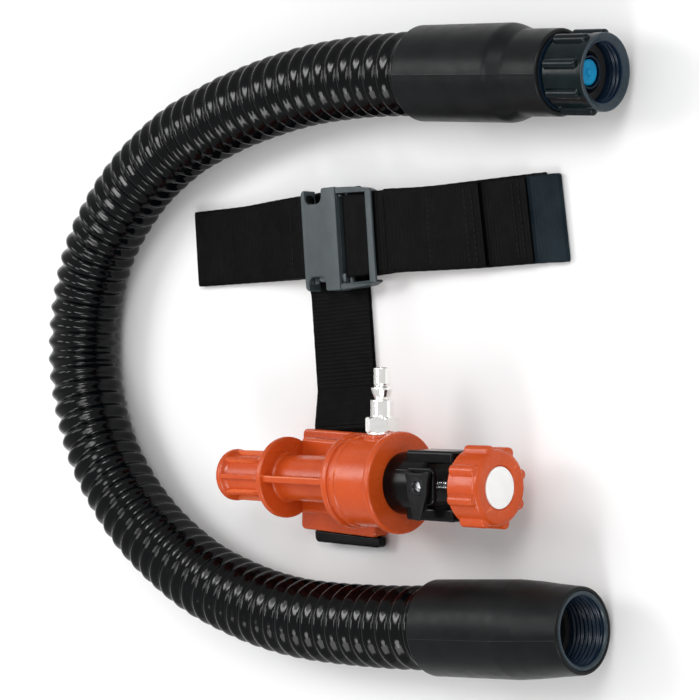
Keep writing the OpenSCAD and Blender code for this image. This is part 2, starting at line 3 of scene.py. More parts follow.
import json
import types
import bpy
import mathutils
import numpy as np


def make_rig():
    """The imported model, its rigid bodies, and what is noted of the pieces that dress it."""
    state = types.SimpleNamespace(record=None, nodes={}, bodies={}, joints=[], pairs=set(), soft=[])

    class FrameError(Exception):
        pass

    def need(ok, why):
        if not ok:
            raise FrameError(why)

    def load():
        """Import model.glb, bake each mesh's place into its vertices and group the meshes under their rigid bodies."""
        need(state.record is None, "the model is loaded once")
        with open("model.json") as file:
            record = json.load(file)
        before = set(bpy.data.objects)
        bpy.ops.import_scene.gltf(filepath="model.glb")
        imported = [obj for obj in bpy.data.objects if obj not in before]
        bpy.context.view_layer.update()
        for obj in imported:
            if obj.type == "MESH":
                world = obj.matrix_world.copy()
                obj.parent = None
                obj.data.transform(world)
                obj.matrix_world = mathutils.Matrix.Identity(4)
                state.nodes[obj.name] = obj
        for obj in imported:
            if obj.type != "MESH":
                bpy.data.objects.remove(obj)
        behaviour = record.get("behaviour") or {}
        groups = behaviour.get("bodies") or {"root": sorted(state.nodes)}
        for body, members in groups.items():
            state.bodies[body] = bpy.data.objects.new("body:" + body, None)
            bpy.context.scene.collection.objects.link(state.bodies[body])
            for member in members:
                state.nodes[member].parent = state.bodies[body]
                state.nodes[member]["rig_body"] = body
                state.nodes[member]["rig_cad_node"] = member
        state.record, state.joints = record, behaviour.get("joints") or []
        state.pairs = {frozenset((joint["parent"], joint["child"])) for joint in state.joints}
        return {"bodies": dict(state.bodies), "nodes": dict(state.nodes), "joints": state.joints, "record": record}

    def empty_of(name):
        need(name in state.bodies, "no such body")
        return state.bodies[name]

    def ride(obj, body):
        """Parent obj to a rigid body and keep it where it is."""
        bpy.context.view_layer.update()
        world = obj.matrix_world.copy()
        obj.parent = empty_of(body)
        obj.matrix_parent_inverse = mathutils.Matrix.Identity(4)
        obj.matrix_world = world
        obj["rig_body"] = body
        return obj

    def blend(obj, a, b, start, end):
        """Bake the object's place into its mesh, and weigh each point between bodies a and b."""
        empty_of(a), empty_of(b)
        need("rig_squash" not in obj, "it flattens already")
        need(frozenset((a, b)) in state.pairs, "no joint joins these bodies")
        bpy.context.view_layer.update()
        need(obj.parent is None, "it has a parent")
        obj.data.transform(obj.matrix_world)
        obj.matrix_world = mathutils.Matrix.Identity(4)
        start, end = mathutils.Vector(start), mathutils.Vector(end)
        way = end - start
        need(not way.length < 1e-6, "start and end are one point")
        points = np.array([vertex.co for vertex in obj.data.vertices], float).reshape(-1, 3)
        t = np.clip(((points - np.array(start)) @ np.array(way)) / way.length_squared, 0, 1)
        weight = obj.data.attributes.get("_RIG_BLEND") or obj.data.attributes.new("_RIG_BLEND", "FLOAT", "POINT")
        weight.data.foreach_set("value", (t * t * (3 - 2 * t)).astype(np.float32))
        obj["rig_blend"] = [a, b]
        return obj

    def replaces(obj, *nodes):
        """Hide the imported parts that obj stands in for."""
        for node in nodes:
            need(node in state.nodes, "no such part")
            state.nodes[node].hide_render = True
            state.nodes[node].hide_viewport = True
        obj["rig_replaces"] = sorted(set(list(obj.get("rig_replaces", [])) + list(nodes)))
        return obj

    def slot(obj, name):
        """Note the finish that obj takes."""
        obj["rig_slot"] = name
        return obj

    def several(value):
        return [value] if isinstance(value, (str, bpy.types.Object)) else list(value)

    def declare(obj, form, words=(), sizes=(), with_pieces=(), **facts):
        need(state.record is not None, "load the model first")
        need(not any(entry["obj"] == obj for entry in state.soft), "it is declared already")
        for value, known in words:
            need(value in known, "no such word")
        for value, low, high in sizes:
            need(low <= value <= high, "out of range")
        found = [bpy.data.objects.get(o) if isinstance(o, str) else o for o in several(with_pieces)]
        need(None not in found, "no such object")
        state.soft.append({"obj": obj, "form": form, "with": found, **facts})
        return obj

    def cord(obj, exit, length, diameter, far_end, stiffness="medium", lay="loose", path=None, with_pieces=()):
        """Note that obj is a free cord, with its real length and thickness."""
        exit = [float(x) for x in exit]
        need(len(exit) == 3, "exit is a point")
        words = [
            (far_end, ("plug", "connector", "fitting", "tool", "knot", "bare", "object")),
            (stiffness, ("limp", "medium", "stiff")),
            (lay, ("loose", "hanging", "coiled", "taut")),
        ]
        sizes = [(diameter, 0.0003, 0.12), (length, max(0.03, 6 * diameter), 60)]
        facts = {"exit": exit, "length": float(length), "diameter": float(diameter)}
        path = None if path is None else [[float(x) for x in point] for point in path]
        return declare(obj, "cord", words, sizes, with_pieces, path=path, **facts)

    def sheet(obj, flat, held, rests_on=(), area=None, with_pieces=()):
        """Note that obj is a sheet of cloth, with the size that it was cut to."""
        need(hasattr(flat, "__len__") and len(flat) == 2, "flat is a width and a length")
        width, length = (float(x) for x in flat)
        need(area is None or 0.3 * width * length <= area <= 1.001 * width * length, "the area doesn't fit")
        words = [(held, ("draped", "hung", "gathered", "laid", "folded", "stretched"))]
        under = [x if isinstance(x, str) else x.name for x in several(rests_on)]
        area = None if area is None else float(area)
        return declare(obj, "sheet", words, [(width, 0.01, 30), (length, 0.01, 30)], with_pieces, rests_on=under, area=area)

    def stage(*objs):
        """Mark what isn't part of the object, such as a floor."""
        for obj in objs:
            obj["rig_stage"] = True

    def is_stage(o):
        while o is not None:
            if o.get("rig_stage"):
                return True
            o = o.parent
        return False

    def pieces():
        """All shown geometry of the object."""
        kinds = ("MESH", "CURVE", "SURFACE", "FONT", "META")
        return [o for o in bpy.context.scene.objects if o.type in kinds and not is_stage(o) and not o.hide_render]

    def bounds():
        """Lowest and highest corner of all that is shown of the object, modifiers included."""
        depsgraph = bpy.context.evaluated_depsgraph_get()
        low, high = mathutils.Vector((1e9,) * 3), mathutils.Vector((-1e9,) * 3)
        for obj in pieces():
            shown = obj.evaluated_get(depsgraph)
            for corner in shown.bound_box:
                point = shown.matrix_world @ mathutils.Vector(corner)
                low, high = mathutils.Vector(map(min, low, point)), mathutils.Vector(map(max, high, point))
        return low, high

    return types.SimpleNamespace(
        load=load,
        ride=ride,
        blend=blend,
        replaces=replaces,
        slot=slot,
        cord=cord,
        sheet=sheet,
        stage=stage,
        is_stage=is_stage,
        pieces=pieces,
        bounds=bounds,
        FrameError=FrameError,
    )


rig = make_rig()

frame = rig.load()

import json
import math

import bmesh
import bpy
from mathutils import Matrix, Vector

cad_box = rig.bounds()

# ---- places, as in the CAD model: millimetres, turned into metres by each matrix --------------
MM = 0.001
SIDEWAYS = Matrix.Rotation(math.radians(90), 4, "Y")       # local +Z becomes the row's +X
UPWARDS = Matrix.Rotation(math.radians(-90), 4, "X")       # local +Z becomes the row's +Y


def place(point, angle=0.0, tip=Matrix.Identity(4)):
    """Matrix from local millimetres to the row frame: tipped, turned in plan, then moved."""
    turn = Matrix.Rotation(math.radians(angle), 4, "Z")
    return Matrix.Translation(Vector(point) * MM) @ turn @ tip @ Matrix.Scale(MM, 4)


UPPER = place((45.6, 153.5, 26.5), -5.3, SIDEWAYS)
LOWER = place((56.8, -153, 26.5), 4.7, SIDEWAYS)
AXIS_Z = 37                   # height of the valve's axis
INLET_X = 21.5                # along the valve from the flange beside its drum
LEVER_X = 66.5                # the lever's pivot, in the same way
SADDLE_AT = (-34.3, -78, 0)
PIVOT = Matrix.Translation(Vector((63.2, -73.3, 0)) * MM)  # the valve is turned about this point
VALVE_TURN = PIVOT @ Matrix.Rotation(math.radians(0.6), 4, "Z") @ PIVOT.inverted()
NECK = VALVE_TURN @ place((3.2, -73.3, 0))
VALVE = NECK @ Matrix.Translation((0, 0, AXIS_Z)) @ SIDEWAYS
INLET = NECK @ Matrix.Translation((INLET_X, 0, AXIS_Z)) @ UPWARDS
LEVER = NECK @ Matrix.Translation((LEVER_X, 0, 0))
BELT = place((-174.3, 64.4, 0), 1.33)
STRAP = place(SADDLE_AT, 4)
SADDLE = place(SADDLE_AT, -1.5)
TO_VALVE = VALVE.inverted() @ NECK                 # from the upright neck to the valve's axis

HOSE_OD = 47.0                # over the corrugations
HOSE_ROUTE = [
    (85.2, 149.8, 26.5), (65.2, 151.7, 26.5), (45.2, 153.5, 26.5), (23.2, 155, 26),
    (1.2, 156.2, 25), (-22.8, 156.5, 24), (-46.8, 155.8, 23.5), (-69.8, 153.5, 23.5),
    (-92.8, 150, 23.5), (-116.3, 145.5, 23.5), (-138.8, 139.5, 23.5), (-160.9, 132.8, 23.5),
    (-181.4, 123.3, 23.5), (-200.9, 112.3, 23.5), (-217.9, 99.3, 23.5), (-233.7, 83.9, 23.5),
    (-246.7, 67.4, 23.5), (-255.7, 49.4, 23.5), (-261.8, 30, 23.5), (-264.8, 10, 23.5),
    (-264.8, -10, 23.5), (-260.8, -30, 23.5), (-253.8, -49.5, 23.5), (-243.8, -68.5, 23.5),
    (-229.3, -86.5, 23.5), (-211.8, -103.5, 23.5), (-191.3, -118.5, 23.5),
    (-167.8, -131.5, 23.5), (-142.3, -142.5, 23.5), (-114.8, -150, 23.5), (-86.8, -155.5, 23.5),
    (-56.8, -158.5, 23.5), (-26.8, -158.7, 23.5), (5.2, -157.3, 24.5), (33.2, -155.3, 26),
    (56.8, -153, 26.5), (77.2, -151.4, 26.5), (96.7, -149.7, 26.5)]


# ---- mesh helpers ---------------------------------------------------------------------------
SOFT_SHADING = 60             # degrees from which a piece counts as soft all over


def rounded(points, closed=True, steps=4):
    """Outline in which each (x, y, radius) corner is an arc; a plain (x, y) corner stays sharp."""
    out = []
    n = len(points)
    for i, p in enumerate(points):
        corner = Vector(p[:2])
        if len(p) < 3 or not p[2] or (not closed and i in (0, n - 1)):
            out.append(corner)
            continue
        to_last = Vector(points[i - 1][:2]) - corner
        to_next = Vector(points[(i + 1) % n][:2]) - corner
        reach = 0.49 * min(to_last.length, to_next.length)
        to_last.normalize()
        to_next.normalize()
        half = to_last.angle(to_next) / 2
        radius = min(p[2], reach * math.tan(half))
        centre = corner + (to_last + to_next).normalized() * radius / math.sin(half)
        first = corner + to_last * radius / math.tan(half) - centre
        last = corner + to_next * radius / math.tan(half) - centre
        sweep = first.angle_signed(last)
        for k in range(steps + 1):
            out.append(centre + Matrix.Rotation(-sweep * k / steps, 2) @ first)
    return out


def skin(rings, close_rings):
    """Closed mesh through equal rings of points, joined end to end in a loop if asked."""
    bm = bmesh.new()
    rows = [[bm.verts.new(p) for p in ring] for ring in rings]
    n = len(rows[0])
    last = len(rows) if close_rings else len(rows) - 1
    for i in range(last):
        a, b = rows[i], rows[(i + 1) % len(rows)]
        for k in range(n):
            j = (k + 1) % n
            bm.faces.new((a[k], a[j], b[j], b[k]))
    if not close_rings:
        bm.faces.new(rows[0])
        bm.faces.new(reversed(rows[-1]))
    bmesh.ops.remove_doubles(bm, verts=bm.verts, dist=1e-4)
    bmesh.ops.delete(bm, geom=[e for e in bm.edges if e.is_wire], context="EDGES")
    bmesh.ops.recalc_face_normals(bm, faces=bm.faces)
    return bm


def lathe(outline, around=96, shape=None, angles=None):
    """Revolve a closed outline of (radius, height); shape(angle, radius, height) gives a radius."""
    angles = angles or [2 * math.pi * k / around for k in range(around)]
    rings = []
    for r, z in outline:
        radii = [shape(a, r, z) if shape else r for a in angles]
        rings.append([(d * math.cos(a), d * math.sin(a), z) for a, d in zip(angles, radii)])
    return skin(rings, True)


def box(lo, hi, bevel=0.6, segments=3):
    """Block between two corners with rounded edges."""
    bm = bmesh.new()
    bmesh.ops.create_cube(bm, size=1)
    lo, hi = Vector(lo), Vector(hi)
    for v in bm.verts:
        v.co = Vector(lo[i] + (v.co[i] + 0.5) * (hi[i] - lo[i]) for i in range(3))
    if bevel:
        bmesh.ops.bevel(bm, geom=bm.edges[:], offset=bevel, segments=segments, profile=0.5,
                        affect="EDGES")
    return bm


def prism(outline, z0, z1, bevel=0.5, segments=3):
    """Upright plate with a rounded rim from a flat outline."""
    bm = bmesh.new()
    low = [bm.verts.new((x, y, z0)) for x, y in outline]
    high = [bm.verts.new((x, y, z1)) for x, y in outline]
    n = len(outline)
    bottom = bm.faces.new(list(reversed(low)))
    top = bm.faces.new(high)
    for k in range(n):
        bm.faces.new((low[k], low[(k + 1) % n], high[(k + 1) % n], high[k]))
    bmesh.ops.recalc_face_normals(bm, faces=bm.faces)
    if bevel:
        rim = list({*bottom.edges, *top.edges})
        bmesh.ops.bevel(bm, geom=rim, offset=bevel, segments=segments, profile=0.5,
                        affect="EDGES", clamp_overlap=True)
    return bm


def moved(bm, matrix):
    """The same mesh after a matrix."""
    bmesh.ops.transform(bm, matrix=matrix, verts=bm.verts)
    return bm


def cylinder(r, z0, z1, bevel=0.0, around=64):
    """Upright cylinder between two heights, its rims rounded if asked."""
    corner = (bevel,) if bevel else ()
    return lathe(rounded([(0, z0), (r, z0, *corner), (r, z1, *corner), (0, z1)], False), around)


def cylinder_between(a, b, r, bevel=0.3, around=32):
    """Rod of radius r from point a to point b."""
    a, b = Vector(a), Vector(b)
    turn = (b - a).to_track_quat("Z", "Y").to_matrix().to_4x4()
    return moved(cylinder(r, 0, (b - a).length, bevel, around), Matrix.Translation(a) @ turn)


def solid(parts, cuts=()):
    """One mesh: the exact union of the parts, less the cuts."""
    holders = []
    for k, bm in enumerate([*parts, *cuts]):
        mesh = bpy.data.meshes.new("scratch")
        bm.to_mesh(mesh)
        bm.free()
        holders.append(bpy.data.objects.new("scratch", mesh))
        bpy.context.scene.collection.objects.link(holders[-1])
    base = holders[0]
    for k, other in enumerate(holders[1:], start=1):
        mod = base.modifiers.new("join", "BOOLEAN")
        mod.solver = "EXACT"
        mod.operation = "UNION" if k < len(parts) else "DIFFERENCE"
        mod.object = other
    bpy.context.view_layer.update()
    graph = bpy.context.evaluated_depsgraph_get()
    result = bpy.data.meshes.new_from_object(base.evaluated_get(graph))
    bm = bmesh.new()
    bm.from_mesh(result)
    bpy.data.meshes.remove(result)
    for holder in holders:
        mesh = holder.data
        bpy.data.objects.remove(holder)
        bpy.data.meshes.remove(mesh)
    bmesh.ops.remove_doubles(bm, verts=bm.verts, dist=1e-4)
    return bm


def together(parts):
    """Several closed shells in one mesh."""
    bm = bmesh.new()
    for part in parts:
        mesh = bpy.data.meshes.new("scratch")
        part.to_mesh(mesh)
        part.free()
        bm.from_mesh(mesh)
        bpy.data.meshes.remove(mesh)
    return bm


def piece(name, bm, matrix, material, body, nodes=(), slot=None, sharp=32):
    """Finish a mesh as a named piece that rides a body and stands for CAD nodes.

    Edges bent by more than sharp degrees stay crisp; only a crisp piece needs even shading.
    """
    moved(bm, matrix)
    mesh = bpy.data.meshes.new(name)
    bm.to_mesh(mesh)
    bm.free()
    mesh.shade_smooth()
    mesh.set_sharp_from_angle(angle=math.radians(sharp))
    mesh.materials.append(material)
    obj = bpy.data.objects.new(name, mesh)
    bpy.context.scene.collection.objects.link(obj)
    if sharp < SOFT_SHADING:
        obj.modifiers.new("even_shading", "WEIGHTED_NORMAL").keep_sharp = True
    if body:
        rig.ride(obj, body)
    if nodes:
        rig.replaces(obj, *nodes)
    if slot:
        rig.slot(obj, slot)
    return obj


# ---- material helpers -----------------------------------------------------------------------
def add(tree, kind, settings=None, **inputs):
    """Add a node; an input is a value or another node's output socket."""
    node = tree.nodes.new(kind)
    for key, value in (settings or {}).items():
        setattr(node, key, value)
    for key, value in inputs.items():
        socket = node.inputs[key.replace("_", " ")]
        if isinstance(value, bpy.types.NodeSocket):
            tree.links.new(value, socket)
        else:
            socket.default_value = value
    return node


def ramp(tree, factor, low, high, start=0.3, end=0.7):
    """Map a factor to a colour or a grey between two values."""
    node = add(tree, "ShaderNodeValToRGB", Fac=factor)
    for stop, at, value in zip(node.color_ramp.elements, (start, end), (low, high)):
        stop.position = at
        stop.color = (*value, 1) if isinstance(value, tuple) else (value, value, value, 1)
    return node.outputs["Color"]


def surface(name, colour, second, rough=(0.3, 0.4), patch=60, grain=900, grain_depth=0.02,
            metallic=0.0, specular=0.5, coat=0.0, pale_edges=None):
    """Material with a patchy colour and roughness, a fine grain and, if asked, paler convex edges."""
    mat = bpy.data.materials.new(name)
    mat.use_nodes = True
    tree = mat.node_tree
    shader = tree.nodes["Principled BSDF"]
    spot = add(tree, "ShaderNodeTexCoord").outputs["Object"]
    cloud = add(tree, "ShaderNodeTexNoise", Vector=spot, Scale=patch, Detail=4.0)
    tint = ramp(tree, cloud.outputs["Fac"], colour, second)
    if pale_edges:
        edge = add(tree, "ShaderNodeNewGeometry").outputs["Pointiness"]
        rim = ramp(tree, edge, 0.0, 1.0, 0.53, 0.60)
        mix = add(tree, "ShaderNodeMix", {"data_type": "RGBA"})
        tree.links.new(rim, mix.inputs["Factor"])
        tree.links.new(tint, mix.inputs["A"])
        mix.inputs["B"].default_value = (*pale_edges, 1)
        tint = mix.outputs["Result"]
    tree.links.new(tint, shader.inputs["Base Color"])
    smear = add(tree, "ShaderNodeTexNoise", Vector=spot, Scale=patch * 3, Detail=5.0)
    tree.links.new(ramp(tree, smear.outputs["Fac"], *rough), shader.inputs["Roughness"])
    fine = add(tree, "ShaderNodeTexNoise", Vector=spot, Scale=grain, Detail=3.0)
    bump = add(tree, "ShaderNodeBump", Height=fine.outputs["Fac"], Strength=1.0,
               Distance=grain_depth * MM)
    tree.links.new(bump.outputs["Normal"], shader.inputs["Normal"])
    shader.inputs["Metallic"].default_value = metallic
    shader.inputs["Specular IOR Level"].default_value = specular
    shader.inputs["Coat Weight"].default_value = coat
    shader.inputs["Coat Roughness"].default_value = 0.12
    return mat


HOSE_VINYL = surface("hose_vinyl_gloss", (0.0007, 0.001, 0.0014), (0.002, 0.0024, 0.003),
                     rough=(0.09, 0.17), patch=40, grain=500, grain_depth=0.03, specular=0.16)
CUFF_RUBBER = surface("cuff_rubber_satin", (0.005, 0.006, 0.0065), (0.010, 0.011, 0.0115),
                      rough=(0.3, 0.42), patch=50, grain=1400, grain_depth=0.02, specular=0.1)
GLOSS_BLACK = surface("black_moulding", (0.001, 0.001, 0.0012), (0.003, 0.003, 0.0034),
                      rough=(0.16, 0.26), patch=90, grain=900, specular=0.12,
                      pale_edges=(0.012, 0.012, 0.014))
NUT_BLACK = surface("nut_moulding", (0.001, 0.004, 0.005), (0.004, 0.010, 0.012),
                    rough=(0.16, 0.26), patch=90, grain=900, specular=0.14,
                    pale_edges=(0.012, 0.045, 0.055))
# Lighter slate for the front faces of the nut and the insert: a painted sheen.
PAINTED_RIM_SHEEN = surface("mouth_rim_slate", (0.020, 0.034, 0.043), (0.032, 0.048, 0.060),
                    rough=(0.22, 0.36), patch=90, grain=900, specular=0.2)
SLATE_INSERT = surface("slate_insert", (0.004, 0.014, 0.030), (0.009, 0.022, 0.044),
                       rough=(0.24, 0.36), patch=80, grain=800, specular=0.2)
BLUE_SILICONE = surface("blue_silicone", (0.002, 0.24, 0.50), (0.005, 0.33, 0.62),
                        rough=(0.3, 0.42), patch=200, grain=1500, specular=0.15)
SEAL_RUBBER = surface("seal_rubber_matte", (0.012, 0.012, 0.013), (0.022, 0.022, 0.024),
                      rough=(0.5, 0.65), patch=120, grain=1600)
STEEL = surface("steel_brushed", (0.50, 0.51, 0.53), (0.62, 0.63, 0.64), rough=(0.2, 0.34),
                patch=240, grain=1800, grain_depth=0.004, metallic=1.0)
SATIN_BLACK = surface("lever_satin", (0.004, 0.004, 0.0045), (0.008, 0.008, 0.009),
                      rough=(0.26, 0.38), patch=120, grain=1200, specular=0.14,
                      pale_edges=(0.028, 0.028, 0.032))
ORANGE = surface("orange_moulding", (0.52, 0.064, 0.008), (0.60, 0.082, 0.013),
                 rough=(0.2, 0.32), patch=45, grain=700, grain_depth=0.012, specular=0.28,
                 pale_edges=(0.74, 0.16, 0.05))
SLATE_PLASTIC = surface("buckle_slate", (0.030, 0.042, 0.047), (0.042, 0.056, 0.061),
                        rough=(0.34, 0.48), patch=80, grain=1300, grain_depth=0.03, specular=0.25,
                        pale_edges=(0.15, 0.18, 0.20))
NICKEL = surface("nickel_bright", (0.94, 0.93, 0.90), (0.99, 0.98, 0.96), rough=(0.1, 0.2),
                 patch=160, grain=1500, grain_depth=0.003, metallic=1.0)
BRASS = surface("brass_turned", (0.60, 0.42, 0.16), (0.70, 0.50, 0.22), rough=(0.25, 0.4),
                patch=160, grain=1500, grain_depth=0.004, metallic=1.0)
WHITE = surface("white_disc", (0.90, 0.90, 0.88), (0.94, 0.94, 0.93), rough=(0.35, 0.5),
                patch=120, grain=900, grain_depth=0.008)
FELT = surface("pressed_felt", (0.42, 0.39, 0.33), (0.58, 0.55, 0.48), rough=(0.85, 0.95),
               patch=500, grain=2600, grain_depth=0.15)
THREAD = surface("sewing_thread", (0.003, 0.003, 0.0035), (0.008, 0.008, 0.009),
                 rough=(0.45, 0.6), patch=600, grain=3000, grain_depth=0.04, specular=0.1)


def woven(name, base, lift):
    """Nylon webbing: yarns crossing at a fine pitch over the moulded ribs, slightly glossy."""
    mat = surface(name, base, lift, rough=(0.42, 0.58), patch=70, grain=2400, grain_depth=0.03,
                  specular=0.04)
    tree = mat.node_tree
    shader = tree.nodes["Principled BSDF"]
    spot = add(tree, "ShaderNodeTexCoord").outputs["Object"]
    waves = []
    for turn in ((0, 0, 0), (0, 0, math.radians(90))):
        laid = add(tree, "ShaderNodeMapping", Vector=spot, Rotation=turn)
        wave = add(tree, "ShaderNodeTexWave", Vector=laid.outputs["Vector"], Scale=420.0,
                   Distortion=0.6, Detail=1.0)
        waves.append(wave.outputs["Fac"])
    yarn = add(tree, "ShaderNodeMath", {"operation": "MULTIPLY"})
    for wave, factor in zip(waves, yarn.inputs):
        tree.links.new(wave, factor)
    old = shader.inputs["Normal"].links[0].from_socket
    weave = add(tree, "ShaderNodeBump", Height=yarn.outputs["Value"], Strength=1.0,
                Distance=0.07 * MM, Normal=old)
    tree.links.new(weave.outputs["Normal"], shader.inputs["Normal"])
    return mat


WEBBING = woven("nylon_webbing_black", (0.0012, 0.0012, 0.0014), (0.0028, 0.0028, 0.003))
# Lighter bluish webbing: a painted sheen on layers that tilt to the light.
WEBBING_PAINTED_SHEEN = woven("nylon_webbing_faded", (0.007, 0.013, 0.018), (0.014, 0.023, 0.029))


# ---- hose -----------------------------------------------------------------------------------
def resample(dense, step):
    """Points about a step apart along a chain of points, and the chain's length."""
    lengths = [0.0]
    for a, b in zip(dense, dense[1:]):
        lengths.append(lengths[-1] + (b - a).length)
    count = round(lengths[-1] / step)
    out, i = [], 0
    for k in range(count + 1):
        want = lengths[-1] * k / count
        while i < len(dense) - 2 and lengths[i + 1] < want:
            i += 1
        out.append(dense[i].lerp(dense[i + 1], (want - lengths[i]) / (lengths[i + 1] - lengths[i])))
    return out, lengths[-1]


def through(points, step):
    """Points a step apart along a smooth curve through the given points."""
    pts = [Vector(p) for p in points]
    pts = [2 * pts[0] - pts[1], *pts, 2 * pts[-1] - pts[-2]]
    dense = []
    parts = 24                # dense points between two given ones
    for a, b, c, d in zip(pts, pts[1:], pts[2:], pts[3:]):
        for k in range(parts):
            t = k / parts
            dense.append(0.5 * (2 * b + (c - a) * t + (2 * a - 5 * b + 4 * c - d) * t * t
                                + (3 * b - a - 3 * c + d) * t ** 3))
    dense.append(pts[-2])
    return resample(dense, step)


def ring_about(points, i, radius, around):
    """Circle of a radius square to the path at point i."""
    ahead = (points[min(i + 1, len(points) - 1)] - points[max(i - 1, 0)]).normalized()
    side = Vector((0, 0, 1)).cross(ahead).normalized()
    up = ahead.cross(side)
    turns = [2 * math.pi * k / around for k in range(around)]
    return [points[i] + radius * (math.cos(a) * side + math.sin(a) * up) for a in turns]


def corrugated_hose():
    """The hose along its route, with its middle line and its length in metres."""
    pitch = 10.6              # from one corrugation to the next
    rows = 12                 # rings in each corrugation
    around = 64
    crest = HOSE_OD / 2
    valley = 20.7
    liner = 19.5
    line, length = through(HOSE_ROUTE, pitch / rows)
    step = length / (len(line) - 1)
    outside = []
    for i in range(len(line)):
        wave = (0.5 + 0.5 * math.cos(2 * math.pi * i * step / pitch)) ** 0.85
        outside.append(ring_about(line, i, valley + (crest - valley) * wave, around))
    spots = [*range(0, len(line) - 1, rows), len(line) - 1]
    inside = [ring_about(line, i, liner, around) for i in spots]
    hose = piece("corrugated_hose", skin(outside + inside[::-1], True), Matrix.Scale(MM, 4),
                 HOSE_VINYL, "hose_set", ["breathing_hose"], "hose_vinyl", sharp=80)
    return hose, [p * MM for p in line], length * MM


# ---- cuffs and couplings --------------------------------------------------------------------
def seam_angles(around, *seams):
    """Even angles with three close ones at each moulding seam."""
    half = math.radians(0.55)
    even = [2 * math.pi * k / around for k in range(around)]
    clear = [a for a in even if all(abs(a - s) > 3 * half for s in seams)]
    return sorted(clear + [s + d for s in seams for d in (-half, 0, half)])


def ridge(seams, height, outside):
    """Radius function that raises a thin line at each seam, where the radius is over a limit."""
    def shape(a, r, z):
        on_seam = min(abs(a - s) for s in seams) < 0.002
        return r + (height if r > outside and on_seam else 0)
    return shape


def cuff(name, front, matrix):
    """Rubber cuff with two fine moulding lines: the hose's socket, then its own front outline."""
    seams = (math.radians(8), math.radians(188))
    socket = [(20, 42, 0.5), (23.55, 42, 0.4), (23.55, 0, 0.5), (26.5, 0, 3.2)]
    bm = lathe(rounded([*socket, *front]), angles=seam_angles(120, *seams),
               shape=ridge(seams, 0.12, 22.7))
    return piece(f"{name}_cuff_rubber", bm, matrix, CUFF_RUBBER, "hose_set", [f"{name}_cuff"],
                 "cuff_rubber", sharp=50)


def upper_cuff():
    """Stepped cuff on the upper spigot."""
    cuff("upper", [(26.5, 67, 13), (23, 77, 9), (22.9, 99.9, 1.6), (20, 100, 0.9)], UPPER)


def lower_cuff():
    """Cuff that tapers in a long curve to the lower connector's mouth."""
    return cuff("lower", [(26.5, 60, 30), (25.5, 74, 30), (24.2, 86, 25), (23.2, 97, 10),
                          (22.75, 102, 1.8), (20.6, 102, 0.8)], LOWER)


def thread(pitch, crest, root, z0, z1):
    """Radius function of an internal round thread between two heights."""
    def shape(a, r, z):
        if r > root or not z0 < z < z1:
            return r
        fade = min(1, (z - z0) / pitch, (z1 - z) / pitch)
        turn = (z / pitch + a / (2 * math.pi)) % 1
        return crest + (root - crest) * fade * (0.5 - 0.5 * math.cos(2 * math.pi * turn)) ** 0.7
    return shape


def lugged(body, lug_r, centre, turn, z0, z1, soft):
    """Radius function that adds eight grip lugs between two heights, with softened ends."""
    spread = math.pi / 4      # from one lug to the next
    inner = body - 2.6        # what lies nearer the axis keeps its radius

    def shape(a, r, z):
        if r < inner or not z0 < z < z1:
            return r
        near = min(z - z0, z1 - z)
        inset = soft - math.sqrt(soft ** 2 - (soft - near) ** 2) if near < soft else 0
        off = (a - math.radians(turn)) % spread - spread / 2
        rest = (lug_r - inset) ** 2 - (centre * math.sin(off)) ** 2
        return max(r, centre * math.cos(off) + math.sqrt(rest)) if rest > 0 else r
    return shape


def heights(z0, z1, step):
    """Even heights from one to another, about a step apart."""
    count = max(1, round((z1 - z0) / step))
    return [z0 + (z1 - z0) * k / count for k in range(count + 1)]


def paint_rim_sheen_and_mouth_glow(obj, matrix, height):
    """Paint the faces beyond a height along the axis a lighter slate, a painted sheen on the front rim; the mouth
    takes the insert's navy, which on the nut is a painted glow.
    """
    mouth_r = 17.5
    back = matrix.inverted()
    obj.data.materials.append(PAINTED_RIM_SHEEN)
    obj.data.materials.append(SLATE_INSERT)
    for face in obj.data.polygons:
        spot = back @ face.center
        inside = math.hypot(spot.x, spot.y) < mouth_r
        face.material_index = 2 if inside else int(spot.z > height)


def coupling_nut():
    """Swivel nut: eight grip lugs, a smooth front band and a threaded mouth."""
    body, front = 19.8, 20.3
    crest, root = 15.8, 16.6
    hole = 14.05              # radius of the opening round the check valve
    lugs = lugged(body, 2.8, 19.8, 15.5, 103, 124.5, 1.4)
    screw = thread(2.5, crest, root, 118, 125.6)
    rows = [(body, z) for z in sorted({*heights(103.1, 105, 0.2), *heights(105, 122, 3)})]
    outline = [
        *rounded([(hole, 101), (body, 101, 1.2), (body, 103)], False), *rows,
        *rounded([(body, 122.2), (front, 122.6, 0.3), (front, 122.9)], False),
        *[(front, z) for z in heights(123, 124.6, 0.2)],
        *rounded([(front, 124.8), (front - 0.1, 127.6, 0.9), (19.4, 128, 0.5), (18.8, 127.8, 0.4),
                  (16.2, 125.8, 0.8), (crest, 125.6)], False),
        *[(crest, z) for z in reversed(heights(118, 125.4, 0.25))],
        *rounded([(16.5, 117.8), (16.5, 109.5, 0.4), (hole, 109.5, 0.3)], False)]
    bm = lathe(outline, 256, lambda a, r, z: lugs(a, screw(a, r, z), z))
    nut = piece("swivel_nut_moulding", bm, UPPER, NUT_BLACK, "swivel_nut", ["coupling_nut"],
                "black_plastic", sharp=40)
    # The nut's front rim gets a painted sheen and its threaded mouth a painted navy glow.
    paint_rim_sheen_and_mouth_glow(nut, UPPER, 126.2)


def spigot():
    """Barbed tube that carries the nut, with the check valve's seat in its front."""
    outline = rounded([(14.5, 12, 0.4), (19.2, 12, 0.8), (19.2, 42, 0.3), (19.95, 42, 0.3),
                       (19.95, 99.7, 0.4), (14, 99.7, 0.4), (14, 109.8, 0.4), (15.5, 109.8, 0.4),
                       (15.5, 113.8, 0.3), (11, 113.8, 0.3), (11, 91, 0.5), (14.5, 91, 0.5)])
    piece("upper_spigot_tube", lathe(outline, 96), UPPER, SLATE_INSERT, "hose_set",
          ["upper_spigot"], "black_plastic")


